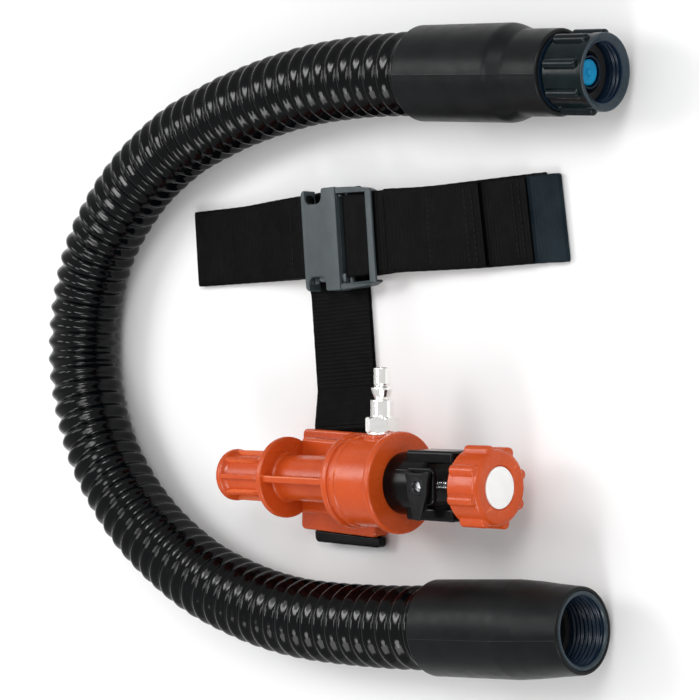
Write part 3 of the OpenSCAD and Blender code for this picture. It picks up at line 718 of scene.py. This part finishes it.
def check_valve():
    """Ported seat with a raised ring, and the blue flap on its stem inside the ring."""
    ring = rounded([(7.6, 110.2), (10.95, 108, 0.3), (10.95, 111, 0.3), (8.9, 111.2, 0.6),
                    (8.8, 117.8, 0.5), (7.6, 117.8, 0.4)])
    web = cylinder(8.5, 108, 111, 0.2)
    holes = [moved(cylinder(1.5, 107, 112, around=24), Matrix.Rotation(k * math.pi / 3, 4, "Z")
                   @ Matrix.Translation((4.6, 0, 0))) for k in range(6)]
    hub = cylinder(1.25, 107, 112, around=24)
    piece("check_valve_seat_ring", solid([lathe(ring, 96), web], [*holes, hub]), UPPER,
          SLATE_INSERT, "hose_set", ["check_valve_seat"], "seat_plastic")
    dome = rounded([(0, 107.5), (1.2, 107.5, 0.3), (1.2, 115.2, 0.4), (5.6, 115.3, 0.5),
                    (6.8, 115.8, 0.5), (6.75, 116.6, 0.5), (5.8, 117.0, 0.6), (2.4, 116.7, 0.5),
                    (1.6, 117.4, 0.6), (0, 117.6)], False)
    piece("check_valve_flap_disc", lathe(dome, 64), UPPER, BLUE_SILICONE, "hose_set",
          ["check_valve_flap"], "blue_silicone")


def lower_connector():
    """Insert of the lower cuff: barbed end, flat front face and a deep round thread."""
    crest, root = 18.2, 19.2
    screw = thread(2.6, crest, root, 78.6, 101)
    outline = [
        *rounded([(14.5, 12, 0.5), (19.2, 12, 0.8), (19.2, 42, 0.3), (20.55, 42, 0.3),
                  (20.55, 101.9, 0.5), (18.9, 101.9, 0.5), (18.3, 101)], False),
        *[(crest, z) for z in reversed(heights(78.6, 101, 0.4))],
        *rounded([(18.8, 78.4), (18.8, 76, 0.3), (14.5, 76, 0.4), (14.5, 12.2)], False)]
    insert = piece("lower_connector_insert", lathe(outline, 128, screw), LOWER, SLATE_INSERT,
                   "hose_set", ["lower_connector"], "insert_plastic", sharp=50)
    # The insert's front face gets a painted sheen.
    paint_rim_sheen_and_mouth_glow(insert, LOWER, 100.9)
    return insert


# ---- webbing --------------------------------------------------------------------------------
WEB_WIDTH = 48
WEB_T = 1.36                  # thickness between the ribs
RIB = 0.22                    # how far a rib stands out on each side
LOW = 0.9                     # height of a layer that lies on the surface
LAYER = 2.05                  # from one layer to the next
BELT_SLANT = 0.065            # how far the belt leans for each millimetre across it
BUCKLE_X = 137                # a place along the belt inside the buckle


def bow(centre, r, a0, a1, n=8):
    """Points on an arc about a centre between two angles in degrees."""
    angles = [math.radians(a0 + (a1 - a0) * k / n) for k in range(n + 1)]
    return [(centre[0] + r * math.cos(a), centre[1] + r * math.sin(a)) for a in angles]


def swell(x, middle, half):
    """One at the middle of a stretch of the belt, and nothing from a half length away."""
    return max(0.0, 1 - ((x - middle) / half) ** 2)


def climb(x, start, run):
    """Nothing before a stretch of the belt, one after it, and even in between."""
    return min(1, max(0, (x - start) / run))


def on_belt(x, y):
    """Where a point of the belt lies in plan: slanted ends, and pulled down at the buckle."""
    pull = swell(x, 146, 30)
    rise = 1.3 * swell(x, 108, 55) * max(0.0, y) / (WEB_WIDTH / 2)
    return x - BELT_SLANT * y, y - 1.4 * pull * pull + rise + 1.2 * climb(x, 150, 130)


def top_layer(x, y):
    """The belt's top layers right of the buckle lie a little nearer the valve."""
    x2, y2 = on_belt(x, y)
    return x2 - 0.05 * y * climb(x, 205, 40), y2 - 1.5 * climb(x, 160, 80)


def on_strap(x, y):
    """The strap leans to its left as it rises."""
    return x - 0.025 * max(0, y - 25), y


def ribbed_band(path, place_at, along_y=False):
    """Webbing with cross ribs along a flat (length, height) path, and the length of its cut."""
    pitch = 2.3               # from one rib to the next
    rows = 6                  # rings in each rib
    edge = 0.93               # share of the half width where the thinner selvedge begins
    half_width = WEB_WIDTH / 2 - 0.1
    line, length = resample([Vector(p) for p in rounded(path, False, 8)], pitch / rows)
    across = [-1, -0.99, -0.965, -edge, -0.6, -0.3, 0, 0.3, 0.6, edge, 0.965, 0.99, 1]
    last = len(line) - 1
    rings = []
    for i, p in enumerate(line):
        ahead = (line[min(i + 1, last)] - line[max(i - 1, 0)]).normalized()
        out = Vector((-ahead.y, ahead.x))
        wave = 0.5 - 0.5 * math.cos(2 * math.pi * i / rows)
        fray = 0.12 * math.sin(i * 1.7) + 0.1 * math.sin(i * 0.31)
        ring = []
        for side, columns in ((0.5, across), (-0.5, across[::-1])):
            for c in columns:
                full = 1 - 0.6 * max(0, (abs(c) - edge) / (1 - edge)) ** 2
                q = p + out * side * (WEB_T * full + 2 * RIB * wave * full)
                y = c * half_width + (fray * 0.5 if abs(c) == 1 else 0)
                spot = place_at(y, q.x) if along_y else place_at(q.x, y)
                ring.append((*spot, q.y))
        rings.append(ring)
    return skin(rings, False), length


def stitches(runs, place_at):
    """Rows of thread: each run goes from one (x, y, height) to another."""
    gap = 3.1                 # from one stitch to the next
    size = Matrix.Diagonal((2.4, 0.6, 0.34, 1))
    shells = []
    for a, b in runs:
        a, b = Vector(a), Vector(b)
        count = max(1, int((b - a).length / gap))
        turn = (b - a).to_track_quat("X", "Z").to_matrix().to_4x4()
        for k in range(count):
            spot = a.lerp(b, (k + 0.5) / count)
            shell = bmesh.new()
            bmesh.ops.create_icosphere(shell, subdivisions=2, radius=0.5)
            at = Vector((*place_at(spot.x, spot.y), spot.z))
            shells.append(moved(shell, Matrix.Translation(at) @ turn @ size))
    return together(shells)


def belt_seams(*places):
    """Runs of thread across the belt, each at an (x, height)."""
    return [((x, -21, z), (x, 21, z)) for x, z in places]


def webbing_sheet(name, node, body, path, place_at, seams, rests_on=()):
    """One sheet of webbing and the thread in its seams; the strap runs across the belt's way."""
    strap = place_at is on_strap
    matrix = STRAP if strap else BELT
    bm, length = ribbed_band(path, place_at, strap)
    sheet = piece(name, bm, matrix, WEBBING, body, [node], "belt_webbing", sharp=SOFT_SHADING)
    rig.sheet(sheet, flat=(WEB_WIDTH * MM, length * MM), held="folded", rests_on=list(rests_on))
    piece(name + "_thread", stitches(seams, place_at), matrix, THREAD, body or "belt_set", (),
          "belt_webbing")
    return sheet


def belt_long_run():
    """Left length: round the socket's bar, the left fold, then under everything to the right."""
    fold = (LAYER + 0.35) / 2
    path = [(80, 6), (102, 9.3, 20), (109, 8.75, 20), *bow((113.5, 11.15), 2.55, -85, 85),
            (109, 13.6, 20), (102, 12.4, 20), (86, 9.4, 60), (66, 6.4, 60), (34, 3.6, 40),
            *bow((fold + LOW, LOW + fold), fold, 90, 270), (90, LOW, 10), (98, LOW + LAYER, 10),
            (157, LOW + LAYER, 10), (166, LOW, 10), (289, LOW)]
    run = webbing_sheet("belt_long_run", "belt_webbing", None, path, on_belt,
                        [((99, -20, 12.9), (99, 20, 12.9))])
    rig.blend(run, "belt_set", "buckle_half", start=tuple(BELT @ Vector((175, 0, 1))),
             end=tuple(BELT @ Vector((287, 0, 1))))


def paint_sheen_end(obj):
    """The low layers beyond the loose tail's end take a lighter bluish webbing, a painted sheen where they tilt to the
    light.
    """
    first_x, highest = 262, 4.6
    back = BELT.inverted()
    obj.data.materials.append(WEBBING_PAINTED_SHEEN)
    for face in obj.data.polygons:
        spot = back @ face.center
        face.material_index = int(spot.x > first_x and spot.z < highest)


def belt_loose_tail():
    """Right length: from its loose end round the plug's bar, to the fold at the right end."""
    fold = (LAYER + 0.1) / 2
    path = [(279, 5.35), (220, 5.35, 40), (202, 6.5, 40), (182, 9.7, 40), (170, 11.6, 30),
            (158, 11.9, 20), (152.5, 13), *bow((147, 11), 2.55, 80, 280), (153.5, 9.1),
            (159, 9.3, 20), (170, 9.2, 30), (182, 7.2, 40), (202, 4.1, 40),
            (220, LOW + 2 * fold, 40), *bow((301 - fold - LOW, LOW + fold), fold, 90, -90),
            (289, LOW)]
    # The low layers beyond the tail's end get a painted sheen.
    paint_sheen_end(webbing_sheet("belt_loose_tail", "belt_right_run", "buckle_half", path, top_layer,
                           belt_seams((274, 6.35), (269.5, 6.35))))


def belt_sewn_end():
    """Short overlap sewn on top of the loose tail, right of the buckle."""
    path = [(178, 12.7), (186, 11.4, 30), (202, 8.8, 40), (220, 7.65, 40), (247, 7.65)]
    webbing_sheet("belt_sewn_end", "belt_overlap", "buckle_half", path, top_layer,
                  belt_seams((241.5, 8.65), (208, 9.3), (236, 8.65)))


def hanger_strap():
    """Strap that hangs from the belt: over it, back under it, and through the saddle."""
    path = [(30.8, 7.05), (34, 7.05), (55, LOW + 1.85, 10), (114, LOW + 1.85, 10),
            (119.5, LOW + 2 * LAYER, 10), (168, LOW + 2 * LAYER),
            *bow((171, LOW + LAYER), LAYER, 90, -90), (54, LOW, 10), (33, 5.2, 40), (-33.4, 5.2)]
    webbing_sheet("hanger_strap_band", "hanger_strap", "belt_set", path, on_strap,
                  [((-21, 58, 3.7), (21, 58, 3.7))], ["buckle_socket_shell"])


def end_bar():
    """Moulded bar on the strap's end, below the saddle."""
    outline = rounded([(-27.5, -34.8, 3.2), (26, -38.8, 3.2), (26, -32.9, 1), (-27.5, -27.9, 1)],
                      True, 6)
    slot = box((-24.4, -33.5, 4.15), (24.4, -27, 6.25), 0)
    piece("strap_end_bar_moulding", solid([prism(outline, 2.2, 8.6, 1.3)], [slot]), STRAP,
          GLOSS_BLACK, "belt_set", ["strap_end_bar"], "black_plastic")


# ---- buckle ---------------------------------------------------------------------------------
def slanted(bm):
    """Give a buckle half the belt's slant and its place across the belt."""
    drop = 1.5
    for v in bm.verts:
        x, y = on_belt(BUCKLE_X, v.co.y - drop)
        v.co.x += x - BUCKLE_X
        v.co.y = y
    return bm


def buckle_shell():
    """Socket half: a flat plate with a round-bottomed notch in each side, on its own bar."""
    h, inner = 29.9, 25.9
    left, right = 112, 141
    notch_left, notch_right, notch_y = 115.2, 129.2, 21.4
    notches = []
    for side in (1, -1):
        notch = [(notch_left, h, 1.0), (notch_left, notch_y, 6.6), (notch_right, notch_y, 6.6),
                 (notch_right, h, 1.6)]
        notch = [(x, y * side, r) for x, y, r in notch]
        notches.append(notch if side == 1 else notch[::-1])
    upper, lower = notches
    outline = [(left, -h + 2.5, 2), (left, h - 2.5, 2), (left + 1.2, h - 0.8, 0.8), *upper,
               (right, h, 0.6), (right, -h, 0.6), *lower, (left + 1.2, -h + 0.8, 0.8)]
    plate = prism(rounded(outline, True, 6), 6.2, 15.9, 0.9, 3)
    mouth = box((119.5, -inner, 8.4), (right + 1, inner, 13.7), 0.5)
    slot = box((108, -inner + 0.6, 7.5), (117.2, inner - 0.6, 14.8), 0.4)
    bar = cylinder_between((113.5, -28, 11.15), (113.5, 28, 11.15), 1.55)
    bm = together([solid([plate], [mouth, slot]), bar])
    piece("buckle_socket_shell", slanted(bm), BELT, SLATE_PLASTIC, "belt_set", ["buckle_socket"],
          "buckle_plastic")


def buckle_frame():
    """Plug half: two tapering rails, a bar for the webbing, a slim end bar and two prongs."""
    low, high = 8.7, 12.9     # heights of the cross block in the socket's mouth
    parts = []
    for s in (1, -1):
        rail = [(141.1, s * 29.6, 0.6), (154, s * 29, 12), (164, s * 28, 5), (168.6, s * 26.2, 1.6),
                (168.2, s * 24.8, 1), (164, s * 25.4, 2), (141.1, s * 26.2, 0.5)]
        parts.append(prism(rounded(rail if s < 0 else rail[::-1], True, 5), 7.7, 15.2, 1.3, 3))
        prong = [(143, s * 20.2, 0.6), (143, s * 25.5, 0.6), (122, s * 24.4, 2.2),
                 (120.2, s * 22, 1.5), (122, s * 20.2, 1)]
        parts.append(prism(rounded(prong if s < 0 else prong[::-1], True, 5), 8.8, 12.9, 0.8, 2))
    parts.append(box((135.2, -25.4, low), (140.7, 25.4, high), 0.7))
    parts += [box((138, s * 25.2 - 0.9, low), (142.4, s * 25.2 + 0.9, high), 0.7) for s in (1, -1)]
    parts.append(box((123.2, -5.8, 8.8), (136, 5.8, 12.8), 0.9))
    parts.append(box((164.6, -27, 13.0), (169.6, 27, 15.4), 1.1, 4))
    bar = cylinder_between((147, -27.5, 11), (147, 27.5, 11), 1.55)
    piece("buckle_plug_frame", slanted(together([solid(parts), bar])), BELT, SLATE_PLASTIC,
          "buckle_half", ["buckle_plug"], "buckle_plastic")


# ---- valve ----------------------------------------------------------------------------------
def valve_casing():
    """Orange casing: ribbed core between two flanges, the drum, and the saddle behind it."""
    core = lathe(rounded([(0, -58.5), (23.75, -58.5, 1.2), (23.75, -54.6, 1.2), (14.2, -54.5, 1.6),
                          (13.5, -53, 1), (13.5, -3.5, 2), (26.6, -1.8, 1.4), (27, 0.2, 1.2),
                          (26.8, 2.6, 0.8), (25.3, 3, 0.5), (25.3, 4.7, 0.4), (26.2, 5.2, 0.7),
                          (26.2, 7.8, 0.8), (25.4, 8.6, 0.5), (25.2, 32.4, 0.4), (0, 32.4)], False),
                 160)
    fin = box((-21.5, -2, -57), (-9, 2, 1), 1.0)
    plate = rounded([(-33, -30, 3), (29, -30, 3), (29, 30, 3), (-33, 30, 3)], True, 6)
    saddle = prism(plate, 0, 12, 1.6)
    block = box((-19, -18, 8), (36, 26, 26.8), 2.2, 4)
    boss = cylinder(10.9, 12, 24.4, 1.0)
    pad = cylinder(10.4, 20, 26.35, 0.7)
    rib = box((6.5, 15, -3.1), (9.7, 26.2, 3.1), 0.9)
    to_inlet = VALVE.inverted() @ INLET
    to_saddle = VALVE.inverted() @ SADDLE
    parts = [core, fin, moved(saddle, to_saddle), moved(block, to_saddle), moved(boss, to_inlet),
             moved(pad, to_inlet), moved(rib, TO_VALVE @ Matrix.Translation((0, 0, AXIS_Z)))]
    tunnel = moved(box((-27.3, -34, 3), (27.3, 34, 7.6), 0), VALVE.inverted() @ place(SADDLE_AT))
    cuts = [cylinder(11, -60, -48), cylinder(9.4, -49, 7), cylinder(21, 6, 34),
            moved(cylinder(5.6, 9, 28, around=32), to_inlet), tunnel]
    piece("valve_casing_orange", solid(parts, cuts), VALVE, ORANGE, "belt_set", ["valve_body"],
          "orange_plastic", sharp=28)


def tail():
    """Ribbed outlet tail with a rounded lip and eight ribs that flare into the flange."""
    shell = lathe(rounded([(0, -103.5), (15.4, -103.5, 2.4), (15.5, -99.2, 1.8), (13.2, -97.4, 1.2),
                           (12.2, -96, 1), (12.2, -64, 3), (13.4, -58.6, 0.4), (10.9, -58.5, 0.2),
                           (10.9, -48.5, 0.5), (0, -48.5)], False), 112)
    along_axis = Matrix(((0, 1, 0, 0), (0, 0, 1, 0), (1, 0, 0, 0), (0, 0, 0, 1)))
    ribs = []
    for k in range(8):
        flare = prism(rounded([(-100, 11, 0), (-100, 14.9, 0.4), (-71, 14.9, 8), (-58.7, 19.2, 1.0),
                               (-58.7, 11, 0)], True, 4), -1.3, 1.3, 0.55, 3)
        ribs.append(moved(flare, Matrix.Rotation(k * math.pi / 4, 4, "Z") @ along_axis))
    groove = lathe([(12, -54.5), (12, -52.3), (10.2, -52.3), (10.2, -54.5)], 96)
    bore = lathe(rounded([(0, -105), (10.4, -105), (9, -102.6, 1.5), (9, -73, 0.2),
                          (9.4, -73, 0.2), (9.4, -47), (0, -47)], False), 96)
    bm = together([solid([shell], [bore, groove]), *ribs])
    piece("outlet_tail_ribbed", bm, VALVE, ORANGE, "belt_set", ["outlet_tail"], "orange_plastic",
          sharp=28)


def flange():
    """Orange end flange with its seal's groove inside the drum."""
    outline = rounded([(15.1, 26.5, 0.4), (20.9, 26.5, 0.4), (20.9, 28.3), (19.4, 28.3),
                       (19.4, 30.5), (20.9, 30.5), (20.9, 32.5), (28.2, 32.5, 1.2),
                       (28.5, 34.8, 2.0), (28.2, 37.4, 1.3), (15.1, 37.5, 0.5)])
    piece("end_flange_orange", lathe(outline, 160), VALVE, ORANGE, "belt_set", ["end_flange"],
          "orange_plastic")


def neck():
    """Black neck: barrel, two cheeks round the spindle's window, and the lever's raised pad."""
    from_axis = TO_VALVE.inverted()
    to_lever = Matrix.Translation((LEVER_X, 0, 0))
    barrel = lathe(rounded([(0, 26.2), (15, 26.2, 0.5), (15, 28.9), (13.6, 28.9), (13.6, 31.3),
                            (15, 31.3), (15, 37.5), (17.1, 37.6, 0.3), (17.35, 39, 1.2),
                            (17.35, 64.6, 1.6), (16, 66, 1.2), (0, 66)], False), 128)
    cheeks = [box((49, y, 26), (84, y + 7.4, 48), 1.8, 4) for y in (11.6, -19)]
    fins = [box((51 + 5.2 * k, -18.4, 25.4), (53.2 + 5.2 * k, 18.4, 33), 0.7) for k in range(3)]
    pad = rounded([(56, -10, 2), (76, -10, 4), (76, 10, 4), (56, 10, 2)], True, 5)
    low_pad = rounded([(45, -9, 2), (57, -9, 1), (57, 9, 1), (45, 9, 2)], True, 5)
    hub = cylinder(5.2, 50, 54.9, 0.5)
    parts = [moved(barrel, from_axis), *cheeks, *fins, prism(pad, 45, 54.6, 1.0),
             prism(low_pad, 45, 53.2, 0.9), moved(hub, to_lever)]
    window = moved(cylinder(13, 20, 52), Matrix.Translation((75.5, 0, 0)))
    bores = [moved(cylinder(10, 20, 60), from_axis),
             moved(cylinder(3.05, 59, 80, around=32), from_axis),
             moved(cylinder(4.9, 59, 62.2, around=32), from_axis)]
    stem = moved(cylinder(3.25, 40, 60, around=32), to_lever)
    piece("valve_neck_moulding", solid(parts, [window, *bores, stem]), NECK, GLOSS_BLACK,
          "belt_set", ["valve_neck"], "black_plastic", sharp=28)


def lever():
    """Pointed shut-off lever, and the stem with its bright pin in the lever's hole."""
    blade = rounded([(-9.4, 8.9, 1.2), (-7.5, 2.5, 4), (-7.3, -3, 5), (-2.2, -18.2, 1.3),
                     (2.2, -18.2, 1.3), (7.3, -3, 5), (7.5, 2.5, 4), (9.4, 8.9, 1.2),
                     (3.5, 7.2, 3), (-3.5, 7.2, 3)], True, 6)
    plate = prism(blade, 55.2, 58, 0.8, 4)
    boss = cylinder(5.4, 56, 58.2, 0.6)
    ridge_line = rounded([(-1.6, -5, 0.5), (1.6, -5, 0.5), (0.6, -16.5, 0.5), (-0.6, -16.5, 0.5)],
                         True, 3)
    spine = prism(ridge_line, 57, 58.2, 0.4)
    hole = cylinder(3.22, 50, 62, around=48)
    piece("shutoff_lever_blade", solid([plate, boss, spine], [hole]), LEVER, SATIN_BLACK,
          "lever_set", ["shutoff_lever"], "black_plastic", sharp=28)
    stem = lathe(rounded([(0, 48), (3.15, 48, 0.3), (3.15, 56.2, 0.5), (0, 56.2)], False), 48)
    pin = moved(lathe(rounded([(0, 55.8), (1.1, 55.8), (1.1, 56.7, 0.5), (0, 56.8)], False), 32),
                Matrix.Translation((0.9, -0.6, 0)))
    piece("gate_stem_pin", together([stem, pin]), LEVER, STEEL, "lever_set", ["gate_stem"],
          "steel")


def hexagon(across, z0, z1):
    """Radius function of a hexagon with chamfered corners between two heights."""
    def shape(a, r, z):
        if r < across / 2 - 0.01 or not z0 <= z <= z1:
            return r
        flat = across / 2 / math.cos((a + math.pi / 6) % (math.pi / 3) - math.pi / 6)
        edge = min(z - z0, z1 - z)
        return min(flat, across / 2 + 0.15 + edge * 1.6)
    return shape


def inlet():
    """Nickel adapter with its hexagon, and the quick-connect plug with its cone."""
    washer = lathe(rounded([(5.6, 26.4, 0.2), (9, 26.4, 0.3), (9, 27.6, 0.3), (5.6, 27.6, 0.2)]), 96)
    piece("inlet_sealing_washer", washer, INLET, NICKEL, "belt_set", ["inlet_washer"], "nickel")
    rows = [(8.5, z) for z in (27.6, 27.9, 28.3, 29, 31, 33, 35, 35.6, 36, 36.3)]
    outline = [(3.4, 21.2), (5.5, 21.2), (5.5, 27.6), *rows,
               *rounded([(7.0, 36.3, 0.2), (6.7, 37, 0.4), (6.7, 45.9, 0.7), (4.2, 46.5, 0.3)], False),
               (4.2, 34), (3.4, 34)]
    adapter = lathe(outline, 144, hexagon(17, 27.6, 36.3))
    piece("inlet_adapter_hex", adapter, INLET, NICKEL, "belt_set", ["inlet_adapter"], "nickel",
          sharp=30)
    profile = rounded([(2.2, 35, 0.3), (4.15, 35, 0.3), (4.15, 46.5), (4.2, 46.6, 0.2),
                       (4.6, 47.4, 0.6), (6.1, 51.4, 0.5), (6.25, 52.8, 0.6), (4.9, 53.1, 0.6),
                       (4.3, 53.8, 0.5), (4.75, 54.8, 0.6), (4.75, 63.9, 0.9), (3.4, 64.1, 0.5),
                       (2.2, 63.4, 0.5)])
    piece("inlet_quick_plug", lathe(profile, 96), INLET, NICKEL, "belt_set", ["inlet_plug"],
          "nickel")


def control_knob():
    """Orange knob with eight lugs and a dished face, and its white disc."""
    body = 20.4
    outline = [
        *rounded([(3.0, 88.2, 0.3), (6, 88.2, 0.4), (6, 100, 0.6), (16, 100, 1.0),
                  (16, 88.2, 0.6)], False),
        *rounded([(16.1, 88), (body, 88, 0.8), (body, 89.2)], False),
        *[(body, z) for z in heights(89.4, 91, 0.2)], *[(body, z) for z in heights(92, 103, 1.5)],
        *[(body, z) for z in heights(103.5, 105.2, 0.2)],
        *[(body - 3 + 3 * math.cos(t), 105.3 + 3 * math.sin(t)) for t in heights(0.07, 1.57, 0.1)],
        *rounded([(17, 108.3), (15.0, 108.2, 2), (12.1, 107.8, 0.5), (11.6, 106.8, 0.3),
                  (4.4, 106.8, 0.3), (4.4, 103.2, 0.3), (1.8, 103, 0.2), (1.8, 100.2), (3.0, 100)],
                 False)]
    shape = lugged(body, 3.2, 20.2, -5.5, 89.2, 106.9, 1.6)
    piece("control_knob_orange", lathe(outline, 256, shape), VALVE, ORANGE, "knob_set", ["knob"],
          "orange_plastic", sharp=40)
    disc = lathe(rounded([(0, 106.85), (11.3, 106.85, 0.2), (11.3, 107.8, 0.6), (8, 108.0, 5),
                          (0, 108.05)], False), 96)
    piece("knob_white_disc", disc, VALVE, WHITE, "knob_set", ["knob_cap"], "white_plastic")


def spindle():
    """Steel spindle with a fine thread, from the cone valve to inside the knob."""
    crest, root = 2.62, 2.97
    screw = thread(1.5, crest, root, 62, 87)
    rod = [*rounded([(0, 31), (2.2, 31, 0.3), (2.2, 37.2), (root, 37.4), (root, 61)], False),
           *[(root, z) for z in heights(62, 87, 0.25)], (root, 88), (root, 99.8), (1.6, 99.9),
           (1.6, 89), (0, 89)]
    piece("valve_spindle_threaded", lathe(rod, 48, screw), VALVE, STEEL, "knob_set", ["spindle"],
          "steel", sharp=60)


def dress_hidden_parts():
    """Materials of the CAD parts that are right as they are."""
    looks = {
        STEEL: ("upper_clamp", "lower_clamp", "orifice_disc", "hot_tube", "cone_valve",
                "knob_screw"),
        SEAL_RUBBER: ("nut_gasket", "lower_gasket", "tail_oring", "flange_oring", "neck_oring",
                      "spindle_oring"),
        BRASS: ("vortex_generator", "inlet_filter"),
        FELT: ("silencer_sleeve",)}
    for material, names in looks.items():
        for name in names:
            mesh = frame["nodes"][name].data
            mesh.materials.clear()
            mesh.materials.append(material)


hose, hose_line, hose_length = corrugated_hose()
upper_cuff()
lower_rubber = lower_cuff()
coupling_nut()
spigot()
check_valve()
insert = lower_connector()
end_bar()
buckle_shell()
buckle_frame()
belt_long_run()
belt_loose_tail()
belt_sewn_end()
hanger_strap()
valve_casing()
tail()
flange()
neck()
lever()
inlet()
control_knob()
spindle()
dress_hidden_parts()
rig.cord(hose, exit=hose_line[0], length=hose_length, diameter=HOSE_OD * MM, far_end="fitting",
        stiffness="medium", lay="loose", path=hose_line, with_pieces=[lower_rubber, insert])


# ---- floor, light and camera ----------------------------------------------------------------
def studio():
    mat = bpy.data.materials.new("pale_floor")
    mat.use_nodes = True
    tree = mat.node_tree
    shader = tree.nodes["Principled BSDF"]
    spot = add(tree, "ShaderNodeTexCoord").outputs["Object"]
    cloud = add(tree, "ShaderNodeTexNoise", Vector=spot, Scale=3.0, Detail=2.0)
    tree.links.new(ramp(tree, cloud.outputs["Fac"], 0.90, 0.92), shader.inputs["Base Color"])
    shader.inputs["Roughness"].default_value = 0.7
    mesh = bpy.data.meshes.new("floor")
    half = 6.0
    mesh.from_pydata([(-half, -half, 0), (half, -half, 0), (half, half, 0), (-half, half, 0)], [],
                     [(0, 1, 2, 3)])
    mesh.materials.append(mat)
    floor = bpy.data.objects.new("floor", mesh)
    floor.location.z = -0.0002
    bpy.context.scene.collection.objects.link(floor)
    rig.stage(floor)
    world = bpy.data.worlds.new("studio_world")
    world.use_nodes = True
    world.node_tree.nodes["Background"].inputs["Color"].default_value = (1, 1, 1, 1)
    world.node_tree.nodes["Background"].inputs["Strength"].default_value = 0.68
    bpy.context.scene.world = world


def softbox(name, spot, size, watts, gloss_only=False):
    target = Vector((-0.05, 0, 0))
    data = bpy.data.lights.new(name, "AREA")
    data.shape = "RECTANGLE"
    data.size, data.size_y = size
    data.energy = watts
    lamp = bpy.data.objects.new(name, data)
    lamp.location = spot
    lamp.rotation_euler = (target - Vector(spot)).to_track_quat("-Z", "Y").to_euler()
    lamp.visible_diffuse = not gloss_only
    bpy.context.scene.collection.objects.link(lamp)


def camera():
    """Camera on the +X side, looking down at 45 degrees, with the row's +Y up in the picture."""
    x, z = 0.8017, 0.84
    tilt = math.sqrt(0.5)
    data = bpy.data.cameras.new("camera")
    data.lens = 102.86
    data.sensor_width = 36
    obj = bpy.data.objects.new("camera", data)
    obj.matrix_world = Matrix(((tilt, 0, tilt, x), (0, 1, 0, 0), (-tilt, 0, tilt, z), (0, 0, 0, 1)))
    bpy.context.scene.collection.objects.link(obj)
    bpy.context.scene.camera = obj


studio()
softbox("key", (0.9, 0.9, 1.5), (0.8, 0.8), 10)
softbox("side", (-1.0, 0.4, 1.2), (0.6, 0.6), 8)
softbox("front", (0.5, -1.3, 1.0), (0.6, 0.6), 7)
softbox("streak_high", (0.55, 0.75, 1.5), (0.9, 0.3), 15, True)
softbox("streak_left", (-0.35, 0.1, 1.6), (0.55, 0.35), 8, True)
softbox("streak_low", (0.75, -1.0, 1.1), (0.3, 0.7), 9, True)
camera()
bpy.context.scene.view_settings.view_transform = "Standard"

with open("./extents.json", "w") as out:
    json.dump({"cad": [[round(float(v), 6) for v in corner] for corner in cad_box],
               "visual": [[round(float(v), 6) for v in corner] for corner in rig.bounds()]}, out)
